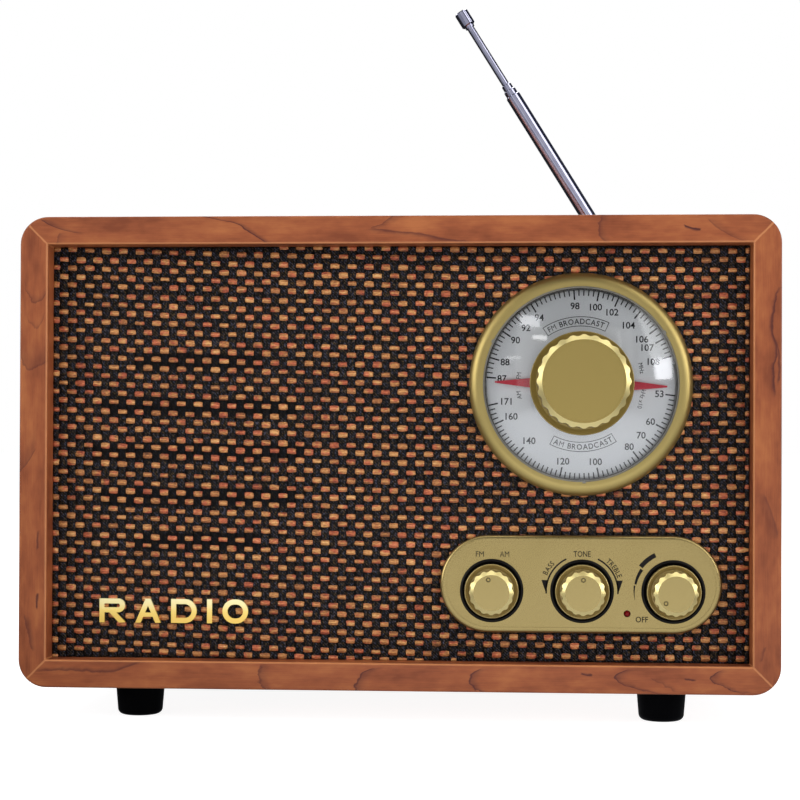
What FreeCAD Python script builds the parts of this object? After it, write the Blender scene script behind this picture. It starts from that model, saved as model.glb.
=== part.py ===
import FreeCAD, Part
import math
import os

V = FreeCAD.Vector

# Wooden tabletop radio. Millimetres; X to the right, Y to the back, Z up.
# Everything is drawn with Y measured from the cabinet's front edge and Z from the table,
# and save() then moves it so that the origin is under the middle of the whole object.

# ---- Cabinet
CABINET_W = 250.0
CABINET_H = 155.8
CABINET_D = 120.0
BOARD_T = 9.2
EDGE_ROUND = 0.6
FOOT_H = 11.0
FOOT_TOP_R = 8.3
FOOT_BOTTOM_R = 7.4
FOOT_ROUND = 2.0
FOOT_UNDER_SCREW = 6.0
FOOT_X = 88.1
FOOT_YS = (20.0, 100.0)
BLOCK = 14.0
BLOCK_D = 16.0
MITRE_REACH = 30.0
OVERCUT = 5.0

# ---- Front: a cloth-covered baffle set back in the cabinet
CLOTH_Y = 8.4
CLOTH_T = 0.8
BAFFLE_T = 6.0
SOUND_SLOT_H = 6.0
SOUND_SLOT_PITCH = 15.0
SOUND_CIRCLE_R = 37.0

# ---- Dial
DIAL_X = 60.5
DIAL_RISE = 100.8
BEZEL_R = 36.75
LIP_R = 32.2
SLEEVE_R = 34.0
DIAL_HOLE_R = 34.2
BEZEL_PROUD = 3.2
LIP_T = 1.0
LENS_APEX_Y = 0.2
LENS_T = 1.4
LENS_RIM_R = 32.8
PLATE_Y = 8.8
PLATE_T = 0.8
POINTER_R = 28.3
POINTER_HALF_W = 3.4
POINTER_TIP_HALF_W = 0.25
POINTER_T = 0.6
POINTER_Y = 7.0
POINTER_REST_DEG = 1.5
HOUSING_R = 42.0
HOUSING_T = 2.0
HOUSING_SCREW_R = 38.2
CAPACITOR = 24.0
CAPACITOR_D = 13.0
CAPACITOR_BUSH_R = 5.0
TRIMMER_R = 1.5
TRIMMER_OFFSET = 7.0
NOTCH_DEG = (32, 154, 272)
NOTCH_HALF_W = 0.6
LENS_HOLE_R = 3.8
LENS_WALL_R = 31.0
POINTER_HUB_R = 4.6

# ---- Shafts and bearings
SHAFT_R = 3.0
RUNNING_GAP = 0.05
END_GAP = 0.2
TUNING_SHAFT_Y = (-14.0, 28.0)
CONTROL_SHAFT_Y = (-1.0, 23.8)
KNOB_STEM_R = 5.0

# ---- Tuning knob
TUNING_FLANGE_R = 16.9
TUNING_TIP_R = 14.9
TUNING_ROOT_R = 14.35
TUNING_TOP_R = 13.2
TUNING_FLUTES = 24
TUNING_BACK_Y = -0.6
TUNING_FLANGE_T = 1.6
TUNING_DISH = 0.7
TUNING_FRONT_Y = -20.0

# ---- Control panel
PANEL_X = 60.55
PANEL_RISE = 34.95
PANEL_W = 92.3
PANEL_H = 32.1
PANEL_PROUD = 2.5
PANEL_RIM = 1.9
PANEL_ROUND = 1.2
PANEL_SUNK = 0.3
CUTOUT_MARGIN = 3.0
CARRIER_SCREW_X = 15.0
CARRIER_SCREW_Z = 15.6
KNOB_RISE = 32.75
KNOB_XS = {"band": 31.4, "tone": 61.05, "volume": 90.85}
RING_R = 10.45
WELL_R = 9.3
RING_PROUD = 0.3
WELL_FLOOR_Y = 12.6
BUSH_R = 3.5
KNOB_FLANGE_R = 8.85
KNOB_TIP_R = 7.25
KNOB_ROOT_R = 6.8
KNOB_TOP_R = 5.85
KNOB_FLUTES = 16
KNOB_FRONT_Y = -4.7
KNOB_BACK_Y = 5.2
KNOB_FLANGE_T = 1.2
KNOB_DISH = 1.3
DOT_DEG = {"band": -13.0, "tone": 0.0, "volume": -131.0}
DOT_R = 0.8
DOT_LINE = 0.4
DOT_DEPTH = 0.5
DOT_OFFSET = 4.4
POT_R = 8.0
POT_D = 8.8
TERMINALS_W = 10.0
TERMINALS_T = 2.0
TERMINALS_DROP = 11.0
CONTROL_BOARD_W = 88.0
CONTROL_BOARD_Z = (27.5, 60.0)
LED_X = 75.8
LED_RISE = 25.5
LED_R = 1.1
LED_FLANGE_Y = (9.4, 10.4)
LED_LEAD_R = 0.25
LED_LEAD_OFFSET = 0.6

# ---- Badge: five plain block letters
BADGE_X = -99.5
BADGE_W = 50.0
BADGE_RISE = 21.0
BADGE_H = 8.0
BADGE_T = 1.2
STROKE = 1.7
LETTER_W = 8.6

# ---- Speaker: radii, and depths given as Y
SPEAKER_X = -66.3
SPEAKER_RISE = 78.0
SPEAKER_FRAME_W = 80.0
FRAME_CORNER_R = 6.0
FRAME_T = 1.2
SCREW_OFFSET = 34.5
BASKET_R = 38.5
BASKET_WALL = 1.0
LEDGE_Y = 18.0
LEDGE_T = 0.8
LEDGE_IN_R = 36.0
BASKET_END_R = 21.0
BASKET_HOLE_R = 10.5
BASKET_BACK_Y = 37.2
WINDOW_HALF_W = 11.0
WINDOW_Y = (21.0, 34.0)
WINDOW_R = (12.0, 40.0)
ROLL_R = 33.7
ROLL_HALF_W = 2.1
SURROUND_T = 0.4
CONE_R = 31.2
CONE_T = 0.5
CONE_NECK_R = 8.6
CONE_NECK_Y = 29.4
CAP_SPHERE_R = 17.0
CAP_SPHERE_Y = 42.9
CAP_WALL = 0.4
CAP_RIM_R = 9.2
COIL_R = 8.25
COIL_WALL = 0.3
COIL_END_Y = 43.0
COIL_GAP = 0.35
SPIDER_R = 22.4
SPIDER_Y = 32.0
SPIDER_T = 0.4
SPIDER_FOLDS = 6
SPIDER_WAVE = 0.9
POLE_R = 20.0
POLE_T = 3.0
MAGNET_R = 22.5
MAGNET_HOLE_R = 12.0
MAGNET_T = 10.0

# ---- Screws
SHANK_R = 1.5
HEAD_R = 2.9
HEAD_T = 1.8
CROSS_W = 0.6
CROSS_DEPTH = 0.7
CASE_SCREW_L = 11.0
BAFFLE_SCREW_L = 6.6

# ---- Rear panel and what is on it
PANEL_BACK_RECESS = 2.0
REAR_T = 3.0
REAR_GAP = 0.2
VENT_W = 60.0
VENT_H = 2.6
VENT_ROWS = 8
VENT_PITCH = 8.0
INLET_X = -85.0
INLET_RISE = 29.0
INLET_W = 22.0
INLET_H = 12.6
INLET_CORNER_R = 2.0
INLET_START_Y = 99.0
INLET_FLANGE_W = 30.0
INLET_FLANGE_H = 17.0
INLET_FLANGE_T = 1.6
SOCKET_LOBE_R = 4.2
SOCKET_WAIST = 3.7
SOCKET_FLOOR_Y = 106.0
MAINS_PIN_X = 4.3
MAINS_PIN_R = 1.2
MAINS_PIN_SUNK = 3.0
JACK_X = 40.0
JACK_RISE = 34.0
JACK_BORE_R = 1.8
JACK_BORE_END_Y = 104.0
JACK_BUSH_R = 4.0
JACK_HALF = 5.5
JACK_PROUD = 1.0
BOARD_Y = 100.0
BOARD_XS = (-20.0, 75.0)
BOARD_ZS = (35.0, 135.0)
POST_XS = (-14.0, 69.0)
POST_ZS = (41.0, 129.0)
POST_R = 3.0
PCB_T = 1.6

# ---- Transformer and ferrite rod
TRANSFORMER_X = INLET_X + 7.0
CORE_HALF_W = 22.0
CORE_H = 37.0
CORE_YS = (66.0, 86.0)
CORE_WINDOW_X = 11.0
CORE_WINDOW_HALF_W = 4.0
CORE_WINDOW_RISE = (7.0, 30.0)
STRAP_HALF_W = 32.0
STRAP_YS = (71.0, 81.0)
STRAP_T = 2.0
STRAP_SCREW_X = 27.0
WINDING_HALF_W = 15.0
WINDING_YS = (58.0, 94.0)
FERRITE_R = 5.0
FERRITE_L = 90.0
FERRITE_START = (-12.0, 92.0, 128.0)
FORMER_R = 7.2
FORMER_L = 26.0
FORMER_X = 14.0
FORMER_FOOT_X = (16.0, 38.0)
FORMER_FOOT_Z = (123.0, 133.0)
FORMER_FOOT_Y = 98.0

# ---- Telescopic antenna
PIVOT_X = 90.0
PIVOT_RISE = 136.0
PIVOT_Y = 127.0
LEAN_DEG = 31.9
EAR_R = 4.2
EAR_T = 1.7
EAR_GAP = 0.25
KNUCKLE_R = 3.4
KNUCKLE_T = 3.0
KNUCKLE_NECK_H = 8.0
PIN_R = 1.25
PIN_HEAD_R = 2.1
PIN_HEAD_T = 0.6
STUD_R = 2.5
STUD_START_Y = 112.4
SWIVEL_PLATE_R = 6.5
SWIVEL_PLATE_YS = (121.4, 123.2)
BUSH_HOLE_R = 4.0
BUSH_NUT_R = 6.5
BUSH_START_Y = 112.0
BUSH_FLANGE_R = 8.0
BUSH_FACE_Y = 121.0
MAST_START = 7.0
TUBE_R = (2.90, 2.45, 2.00, 1.45)
BORE_R = (2.50, 2.05, 1.50)
OUTER_END = 98.5
STEP = 2.5
ROD_OUT = 26.9
SECTION_L = (86.5, 84.0, 82.0, 80.0)
ROD_IN_CAP = 3.0
CAP_R = 2.75
CAP_L = 6.3
CAP_CHAMFER = 0.4
NECK_R = 1.9
NECK_L = 1.0

# ---- Places worked out from the dimensions above
BAFFLE_Y = CLOTH_Y + CLOTH_T
BAFFLE_BACK = BAFFLE_Y + BAFFLE_T
INNER_HALF_W = CABINET_W / 2 - BOARD_T
FLOOR_Z = FOOT_H + BOARD_T
CEILING_Z = FOOT_H + CABINET_H - BOARD_T
DIAL_Z = FOOT_H + DIAL_RISE
PANEL_Z = FOOT_H + PANEL_RISE
PANEL_Y = CLOTH_Y - PANEL_PROUD
KNOB_Z = FOOT_H + KNOB_RISE
LED_Z = FOOT_H + LED_RISE
SPEAKER_Z = FOOT_H + SPEAKER_RISE
REAR_Y = CABINET_D - PANEL_BACK_RECESS - REAR_T
REAR_BACK = REAR_Y + REAR_T
PIVOT_Z = FOOT_H + PIVOT_RISE
HOUSING_BACK = BAFFLE_BACK + HOUSING_T
POT_BACK = HOUSING_BACK + POT_D
ORIGIN_Y = (TUNING_FRONT_Y + PIVOT_Y + EAR_R) / 2
BLOCK_X = INNER_HALF_W - BLOCK / 2
BLOCK_ZS = (FLOOR_Z + BLOCK / 2, CEILING_Z - BLOCK / 2)
INLET_Z = FOOT_H + INLET_RISE
JACK_Z = FOOT_H + JACK_RISE
INLET_FACE_Y = REAR_BACK + INLET_FLANGE_T
SPIDER_IN_R = COIL_R + COIL_WALL + COIL_GAP
TOP_PLATE_BACK = BASKET_BACK_Y + POLE_T
MAGNET_BACK = TOP_PLATE_BACK + MAGNET_T
EAR_FACE = KNUCKLE_T / 2 + EAR_GAP + EAR_T
ROD_END = OUTER_END + 2 * STEP + ROD_OUT


# ---------------------------------------------------------------- shared shapes
def bar(radius, y_front, y_back, x, z):
    """Round bar along Y."""
    return Part.makeCylinder(radius, y_back - y_front, V(x, y_front, z), V(0, 1, 0))


def block(x0, x1, y0, y1, z0, z1):
    """Rectangular block between two corners."""
    return Part.makeBox(x1 - x0, y1 - y0, z1 - z0, V(x0, y0, z0))


def stadium(width, height, y_front, y_back, x, z):
    """Bar along Y with two straight long sides and round ends."""
    radius = height / 2
    half = width / 2 - radius
    middle = block(x - half, x + half, y_front, y_back, z - radius, z + radius)
    ends = [bar(radius, y_front, y_back, x + side * half, z) for side in (-1, 1)]
    return middle.fuse(ends).removeSplitter()


def rounded_block(width, height, radius, y_front, y_back, x, z):
    """Block whose four edges along Y are rounded."""
    solid = block(x - width / 2, x + width / 2, y_front, y_back, z - height / 2, z + height / 2)
    along_y = [e for e in solid.Edges if abs(e.tangentAt(e.FirstParameter).y) > 0.99]
    return solid.makeFillet(radius, along_y)


def tube(outer_r, inner_r, y_front, y_back, x, z):
    """Round tube along Y."""
    return bar(outer_r, y_front, y_back, x, z).cut(bar(inner_r, y_front, y_back, x, z))


def outline_wire(points, x, z):
    """Closed wire in the plane of the axis; a point marked 'arc' is the middle of an arc."""
    places = [V(x + p[0], p[1], z) for p in points]
    edges = []
    i = 0
    while i < len(points):
        here = places[i]
        after = (i + 1) % len(points)
        if len(points[after]) == 3:
            end = (i + 2) % len(points)
            edges.append(Part.Arc(here, places[after], places[end]).toShape())
            i += 2
        else:
            edges.append(Part.LineSegment(here, places[after]).toShape())
            i += 1
    return Part.Wire(edges)


def turned(points, x, z):
    """Solid turned about a Y axis through (x, z); points are (radius, y)."""
    solid = Part.Face(outline_wire(points, x, z)).revolve(V(x, 0, z), V(0, 1, 0), 360)
    solid = Part.Solid(solid.Shells[0])
    if solid.Volume < 0:
        solid.reverse()
    return solid


def fluted_bar(tip_r, root_r, flutes, y_front, y_back, x, z):
    """Bar along Y whose outline waves between two radii."""
    step = 2 * math.pi / flutes
    mean_r = (tip_r + root_r) / 2

    def at(radius, angle):
        return V(x + radius * math.sin(angle), y_front, z + radius * math.cos(angle))

    edges = []
    for i in range(flutes):
        start = (i - 0.25) * step
        crest = Part.Arc(at(mean_r, start), at(tip_r, start + step / 4), at(mean_r, start + step / 2))
        dip_start = start + step / 2
        dip = Part.Arc(at(mean_r, dip_start), at(root_r, dip_start + step / 4), at(mean_r, start + step))
        edges.append(crest.toShape())
        edges.append(dip.toShape())
    return Part.Face(Part.Wire(edges)).extrude(V(0, y_back - y_front, 0))


def round_front_edges(solid, radius, y):
    """Round every edge that lies wholly in the plane at y."""
    edges = [e for e in solid.Edges if all(abs(v.Point.y - y) < 1e-6 for v in e.Vertexes)
             and abs(e.valueAt((e.FirstParameter + e.LastParameter) / 2).y - y) < 1e-6]
    return solid.makeFillet(radius, edges)


def screw(seat, direction, length):
    """Pan-head screw; seat is under its head and direction is where its point goes."""
    shank = Part.makeCylinder(SHANK_R, length, seat, direction)
    back = direction.negative()
    head = Part.makeCylinder(HEAD_R, HEAD_T, seat, back)
    rim = [e for e in head.Edges if abs((e.BoundBox.Center - seat).dot(back) - HEAD_T) < 1e-6]
    head = head.makeFillet(HEAD_T * 0.5, rim)
    slot_at = seat + back * HEAD_T
    arm = HEAD_R * 0.6
    half = CROSS_W / 2
    cross = block(-arm, arm, -half, half, -CROSS_DEPTH, CROSS_DEPTH)
    cross = cross.fuse(block(-half, half, -arm, arm, -CROSS_DEPTH, CROSS_DEPTH))
    cross.Placement = FreeCAD.Placement(slot_at, FreeCAD.Rotation(V(0, 0, 1), direction))
    return head.fuse(shank).cut(cross)


def group(solids):
    """Separate solids that share one node."""
    return Part.makeCompound(solids)


# ---------------------------------------------------------------- cabinet
def cabinet_boards():
    """Four boards, mitred at the corners, cut from one ring with rounded outer corners."""
    mid_z = FOOT_H + CABINET_H / 2
    outer = rounded_block(CABINET_W, CABINET_H, BOARD_T, 0, CABINET_D, 0, mid_z)
    inner = block(-INNER_HALF_W, INNER_HALF_W, -1, CABINET_D + 1, FLOOR_Z, CEILING_Z)
    ring = outer.cut(inner)
    for y in (0.0, CABINET_D):
        ring = round_front_edges(ring, EDGE_ROUND, y)
    half_w = CABINET_W / 2
    bottom, top = FOOT_H, FOOT_H + CABINET_H
    reach = MITRE_REACH
    out = OVERCUT

    def wedge(corners):
        points = [V(x, -1, z) for x, z in corners]
        return Part.Face(Part.makePolygon(points + points[:1])).extrude(V(0, CABINET_D + 2, 0))

    boards = {}
    for name, z, sign in (("cabinet_top", top, 1), ("cabinet_bottom", bottom, -1)):
        boards[name] = wedge([(-half_w - out, z + sign * out), (half_w + out, z + sign * out),
                              (half_w - reach, z - sign * reach), (-half_w + reach, z - sign * reach)])
    for name, sign in (("cabinet_left_side", -1), ("cabinet_right_side", 1)):
        x = sign * half_w
        boards[name] = wedge([(x + sign * out, bottom - out), (x + sign * out, top + out),
                              (x - sign * reach, top - reach), (x - sign * reach, bottom + reach)])
    boards = {name: ring.common(cutter) for name, cutter in boards.items()}
    for hole in foot_screw_seats() + transformer_screw_seats():
        boards["cabinet_bottom"] = boards["cabinet_bottom"].cut(pilot(*hole, CASE_SCREW_L))
    return boards


def pilot(seat, direction, length):
    """Hole that a screw's shank fills."""
    return Part.makeCylinder(SHANK_R, length, seat, direction)


def rear_screw_seats():
    return [(V(sx * BLOCK_X, REAR_BACK, z), V(0, -1, 0)) for sx in (-1, 1) for z in BLOCK_ZS]


def foot_screw_seats():
    return [(V(sx * FOOT_X, y, FOOT_H - FOOT_UNDER_SCREW), V(0, 0, 1)) for sx in (-1, 1) for y in FOOT_YS]


def transformer_screw_seats():
    y = (STRAP_YS[0] + STRAP_YS[1]) / 2
    z = FLOOR_Z + STRAP_T
    return [(V(TRANSFORMER_X + side * STRAP_SCREW_X, y, z), V(0, 0, -1)) for side in (-1, 1)]


def corner_blocks():
    """Glued blocks in the four rear corners that the rear panel is screwed to."""
    blocks = []
    for sx in (-1, 1):
        for z in BLOCK_ZS:
            x = sx * BLOCK_X
            half = BLOCK / 2
            blocks.append(block(x - half, x + half, REAR_Y - BLOCK_D, REAR_Y, z - half, z + half))
    for seat, direction in rear_screw_seats():
        blocks = [b.cut(pilot(seat, direction, CASE_SCREW_L)) for b in blocks]
    return group(blocks)


def foot(x, y):
    """Tapered rubber foot with a screw recess in its underside."""
    tapered = Part.makeCone(FOOT_BOTTOM_R, FOOT_TOP_R, FOOT_H, V(x, y, 0), V(0, 0, 1))
    rim = [e for e in tapered.Edges if e.BoundBox.ZMax < 1e-6]
    solid = tapered.makeFillet(FOOT_ROUND, rim)
    recess = Part.makeCylinder(HEAD_R + 0.3, FOOT_H - FOOT_UNDER_SCREW, V(x, y, 0), V(0, 0, 1))
    return solid.cut(recess).cut(pilot(V(x, y, 0), V(0, 0, 1), FOOT_H))


def feet():
    names = {(-1, FOOT_YS[0]): "foot_front_left", (1, FOOT_YS[0]): "foot_front_right",
             (-1, FOOT_YS[1]): "foot_rear_left", (1, FOOT_YS[1]): "foot_rear_right"}
    return {name: foot(sx * FOOT_X, y) for (sx, y), name in names.items()}


def case_screws():
    seats = rear_screw_seats() + foot_screw_seats() + transformer_screw_seats()
    return group([screw(seat, direction, CASE_SCREW_L) for seat, direction in seats])


# ---------------------------------------------------------------- baffle, cloth and badge
def sound_slots(y_front, y_back):
    """Five horizontal slots that together fill a circle."""
    slots = []
    for row in range(-2, 3):
        rise = row * SOUND_SLOT_PITCH
        half = math.sqrt(SOUND_CIRCLE_R ** 2 - rise ** 2)
        slots.append(stadium(2 * half, SOUND_SLOT_H, y_front, y_back, SPEAKER_X, SPEAKER_Z + rise))
    return slots


def front_sheet(y_front, y_back):
    """Sheet that fills the cabinet's opening, with holes for the dial and the controls."""
    sheet = block(-INNER_HALF_W, INNER_HALF_W, y_front, y_back, FLOOR_Z, CEILING_Z)
    sheet = sheet.cut(bar(DIAL_HOLE_R, y_front, y_back, DIAL_X, DIAL_Z))
    width = PANEL_W - 2 * CUTOUT_MARGIN
    height = PANEL_H - 2 * CUTOUT_MARGIN
    return sheet.cut(stadium(width, height, y_front, y_back, PANEL_X, PANEL_Z))


def front_baffle():
    solid = front_sheet(BAFFLE_Y, BAFFLE_BACK)
    for hole in sound_slots(BAFFLE_Y, BAFFLE_BACK):
        solid = solid.cut(hole)
    for seat, direction in baffle_screw_seats():
        solid = solid.cut(pilot(seat, direction, BAFFLE_SCREW_L))
    return solid


def baffle_screw_seats():
    """Screws driven into the baffle from behind: dial housing, control carrier and speaker."""
    forward = V(0, -1, 0)
    seats = []
    for degrees in (90, 210, 330):
        a = math.radians(degrees)
        place = V(DIAL_X + HOUSING_SCREW_R * math.cos(a), HOUSING_BACK,
                  DIAL_Z + HOUSING_SCREW_R * math.sin(a))
        seats.append((place, forward))
    for sx in (-1, 1):
        for sz in (-1, 1):
            carrier = V(PANEL_X + sx * CARRIER_SCREW_X, HOUSING_BACK, PANEL_Z + sz * CARRIER_SCREW_Z)
            corner = V(SPEAKER_X + sx * SCREW_OFFSET, BAFFLE_BACK + FRAME_T, SPEAKER_Z + sz * SCREW_OFFSET)
            seats += [(carrier, forward), (corner, forward)]
    return seats


def baffle_screws():
    return group([screw(seat, direction, BAFFLE_SCREW_L) for seat, direction in baffle_screw_seats()])


def stroke_line(x0, z0, x1, z1):
    """Straight stroke of a letter between two points on its centre line."""
    length = math.hypot(x1 - x0, z1 - z0)
    solid = Part.makeBox(length, BADGE_T, STROKE, V(0, 0, -STROKE / 2))
    solid.rotate(V(0, 0, 0), V(0, 1, 0), -math.degrees(math.atan2(z1 - z0, x1 - x0)))
    solid.translate(V(x0, CLOTH_Y - BADGE_T, z0))
    return solid


def bowl(width, height, x, z):
    """Closed round stroke with stadium sides; (x, z) is its lower left corner."""
    y0, y1 = CLOTH_Y - BADGE_T, CLOTH_Y
    outer = rounded_block(width, height, min(width, height) * 0.499, y0, y1, x + width / 2, z + height / 2)
    inner_w, inner_h = width - 2 * STROKE, height - 2 * STROKE
    inner = rounded_block(inner_w, inner_h, min(inner_w, inner_h) * 0.499, y0, y1,
                          x + width / 2, z + height / 2)
    return outer.cut(inner)


def half_bowl(width, height, x, z):
    """Stem with a round stroke to its right; (x, z) is its lower left corner."""
    y0, y1 = CLOTH_Y - BADGE_T, CLOTH_Y
    right = bowl(2 * width, height, x - width, z)
    right = right.common(block(x, x + width, y0, y1, z, z + height))
    return right.fuse(block(x, x + STROKE, y0, y1, z, z + height))


def name_badge():
    """The plain word RADIO in five separate block letters."""
    y0, y1 = CLOTH_Y - BADGE_T, CLOTH_Y
    z = FOOT_H + BADGE_RISE
    h = BADGE_H
    w = LETTER_W
    gap = (BADGE_W - 4 * w - STROKE) / 4
    x_r = BADGE_X
    x_a = x_r + w + gap
    x_d = x_a + w + gap
    x_i = x_d + w + gap
    x_o = x_i + STROKE + gap
    box_r = block(x_r, x_r + w, y0, y1, z, z + h)
    letter_r = half_bowl(w, h * 0.58, x_r, z + h * 0.42)
    letter_r = letter_r.fuse(block(x_r, x_r + STROKE, y0, y1, z, z + h))
    letter_r = letter_r.fuse(stroke_line(x_r + w * 0.45, z + h * 0.5, x_r + w * 0.95, z - 0.5)).common(box_r)
    mid = x_a + w / 2
    box_a = block(x_a, x_a + w, y0, y1, z, z + h)
    letter_a = stroke_line(x_a + 0.5, z - 1.0, mid + 0.3, z + h + 0.5)
    letter_a = letter_a.fuse(stroke_line(mid - 0.3, z + h + 0.5, x_a + w - 0.5, z - 1.0))
    letter_a = letter_a.fuse(block(x_a + w * 0.25, x_a + w * 0.75, y0, y1, z + h * 0.25, z + h * 0.25 + 1.4))
    letter_a = letter_a.common(box_a)
    letter_d = half_bowl(w, h, x_d, z)
    letter_i = block(x_i, x_i + STROKE, y0, y1, z, z + h)
    letter_o = bowl(w, h, x_o, z)
    return group([s.removeSplitter() for s in (letter_r, letter_a, letter_d, letter_i, letter_o)])


# ---------------------------------------------------------------- dial
def lens_surface_y(radius, offset):
    """Y of the lens dome at a radius; offset is measured inwards from its outer face."""
    rise = CLOTH_Y - BEZEL_PROUD + LIP_T - LENS_APEX_Y
    sphere_r = (LIP_R ** 2 + rise ** 2) / (2 * rise)
    return LENS_APEX_Y + sphere_r - math.sqrt((sphere_r - offset) ** 2 - radius ** 2)


def dial_bezel():
    front = CLOTH_Y - BEZEL_PROUD
    solid = turned([(LIP_R, front), (LIP_R + 0.6, front), (35.2, front + 0.55, "arc"), (BEZEL_R, front + 2.4),
                    (BEZEL_R, CLOTH_Y), (SLEEVE_R, CLOTH_Y), (SLEEVE_R, BAFFLE_BACK),
                    (SLEEVE_R - 1.0, BAFFLE_BACK), (SLEEVE_R - 1.0, front + LIP_T), (LIP_R, front + LIP_T)],
                   DIAL_X, DIAL_Z)
    for degrees in NOTCH_DEG:
        notch = block(LIP_R - 1.0, LIP_R + 0.45, front - 1, front + LIP_T, -NOTCH_HALF_W, NOTCH_HALF_W)
        notch.rotate(V(0, 0, 0), V(0, 1, 0), -degrees)
        notch.translate(V(DIAL_X, 0, DIAL_Z))
        solid = solid.cut(notch)
    return solid


def dial_lens():
    """Clear domed lens with a flat rim held behind the bezel's lip."""
    edge_y = CLOTH_Y - BEZEL_PROUD + LIP_T
    mid_r = (LENS_HOLE_R + LIP_R) / 2
    return turned([(LENS_HOLE_R, lens_surface_y(LENS_HOLE_R, LENS_T)),
                   (LENS_HOLE_R, lens_surface_y(LENS_HOLE_R, 0)), (mid_r, lens_surface_y(mid_r, 0), "arc"),
                   (LIP_R, edge_y), (LENS_RIM_R, edge_y), (LENS_RIM_R, PLATE_Y), (LENS_WALL_R, PLATE_Y),
                   (LENS_WALL_R, lens_surface_y(LENS_WALL_R, LENS_T)),
                   (mid_r, lens_surface_y(mid_r, LENS_T), "arc")], DIAL_X, DIAL_Z)


def dial_plate():
    return tube(LENS_RIM_R, SHAFT_R + 1.5, PLATE_Y, PLATE_Y + PLATE_T, DIAL_X, DIAL_Z)


def dial_housing():
    """Cup behind the baffle that carries the dial plate and the tuning capacitor."""
    cup = tube(LENS_RIM_R, LENS_RIM_R - 1.5, PLATE_Y + PLATE_T, BAFFLE_BACK, DIAL_X, DIAL_Z)
    back = tube(HOUSING_R, CAPACITOR_BUSH_R, BAFFLE_BACK, HOUSING_BACK, DIAL_X, DIAL_Z)
    solid = cup.fuse(back)
    for seat, direction in baffle_screw_seats()[:3]:
        solid = solid.cut(pilot(seat, direction, BAFFLE_SCREW_L))
    return solid


def tuning_capacitor():
    """Variable capacitor: a square can with a round bush that the tuning shaft turns in."""
    half = CAPACITOR / 2
    bush_y = BAFFLE_BACK - 1.2
    can_back = HOUSING_BACK + CAPACITOR_D
    can = block(DIAL_X - half, DIAL_X + half, HOUSING_BACK, can_back, DIAL_Z - half, DIAL_Z + half)
    solid = can.fuse(bar(CAPACITOR_BUSH_R, bush_y, HOUSING_BACK, DIAL_X, DIAL_Z))
    for sx in (-1, 1):
        solid = solid.fuse(bar(TRIMMER_R, can_back, can_back + 1.0, DIAL_X + sx * TRIMMER_OFFSET,
                               DIAL_Z + TRIMMER_OFFSET))
    return solid.cut(bar(SHAFT_R + RUNNING_GAP, bush_y, TUNING_SHAFT_Y[1] + END_GAP, DIAL_X, DIAL_Z))


def tuning_shaft():
    return bar(SHAFT_R, TUNING_SHAFT_Y[0], TUNING_SHAFT_Y[1], DIAL_X, DIAL_Z)


def dial_pointer():
    """Double-ended pointer: one end reads the upper scale, the other the lower one."""
    corners = [(-POINTER_R, -POINTER_TIP_HALF_W), (0, -POINTER_HALF_W), (POINTER_R, -POINTER_TIP_HALF_W),
               (POINTER_R, POINTER_TIP_HALF_W), (0, POINTER_HALF_W), (-POINTER_R, POINTER_TIP_HALF_W)]
    points = [V(x, POINTER_Y, z) for x, z in corners]
    blade = Part.Face(Part.makePolygon(points + points[:1])).extrude(V(0, POINTER_T, 0))
    blade.rotate(V(0, 0, 0), V(0, 1, 0), POINTER_REST_DEG)
    blade.translate(V(DIAL_X, 0, DIAL_Z))
    hub = bar(POINTER_HUB_R, POINTER_Y - 0.4, PLATE_Y - 0.4, DIAL_X, DIAL_Z)
    return blade.fuse(hub).cut(bar(SHAFT_R, 0, 20, DIAL_X, DIAL_Z))


def fluted_knob(x, z, flange_r, tip_r, root_r, top_r, flutes, back_y, flange_t, dish, front_y):
    """Knob with a round dished flange, a fluted body and a bevelled front."""
    neck_y = back_y - flange_t
    bevel = tip_r - top_r
    body = fluted_bar(tip_r, root_r, flutes, front_y, neck_y, x, z)
    envelope = turned([(0, front_y), (top_r, front_y), (tip_r + 0.1, front_y + bevel * 0.9),
                       (tip_r + 0.1, neck_y), (0, neck_y)], x, z)
    rim_y = neck_y - dish
    flange = turned([(0, neck_y), (tip_r + 0.1, neck_y), (flange_r - 0.25, rim_y),
                     (flange_r - 0.07, rim_y + 0.07, "arc"), (flange_r, rim_y + 0.25), (flange_r, back_y),
                     (0, back_y)], x, z)
    return body.common(envelope).fuse(flange)


def tuning_knob():
    solid = fluted_knob(DIAL_X, DIAL_Z, TUNING_FLANGE_R, TUNING_TIP_R, TUNING_ROOT_R, TUNING_TOP_R,
                        TUNING_FLUTES, TUNING_BACK_Y, TUNING_FLANGE_T, TUNING_DISH, TUNING_FRONT_Y)
    dish = bar(TUNING_TOP_R - 0.5, TUNING_FRONT_Y, TUNING_FRONT_Y + 0.25, DIAL_X, DIAL_Z)
    return solid.cut(dish).cut(bar(SHAFT_R, TUNING_SHAFT_Y[0], TUNING_BACK_Y, DIAL_X, DIAL_Z))


# ---------------------------------------------------------------- control panel
def control_panel():
    """Raised plate with a rounded edge and a slightly sunk middle."""
    plate = stadium(PANEL_W, PANEL_H, PANEL_Y, CLOTH_Y, PANEL_X, PANEL_Z)
    solid = round_front_edges(plate, PANEL_ROUND, PANEL_Y)
    solid = solid.cut(stadium(PANEL_W - 2 * PANEL_RIM, PANEL_H - 2 * PANEL_RIM, PANEL_Y,
                              PANEL_Y + PANEL_SUNK, PANEL_X, PANEL_Z))
    for x in KNOB_XS.values():
        solid = solid.cut(bar(RING_R, PANEL_Y, CLOTH_Y, x, KNOB_Z))
    return solid.cut(bar(LED_R + RUNNING_GAP, PANEL_Y, CLOTH_Y, LED_X, LED_Z))


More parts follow.
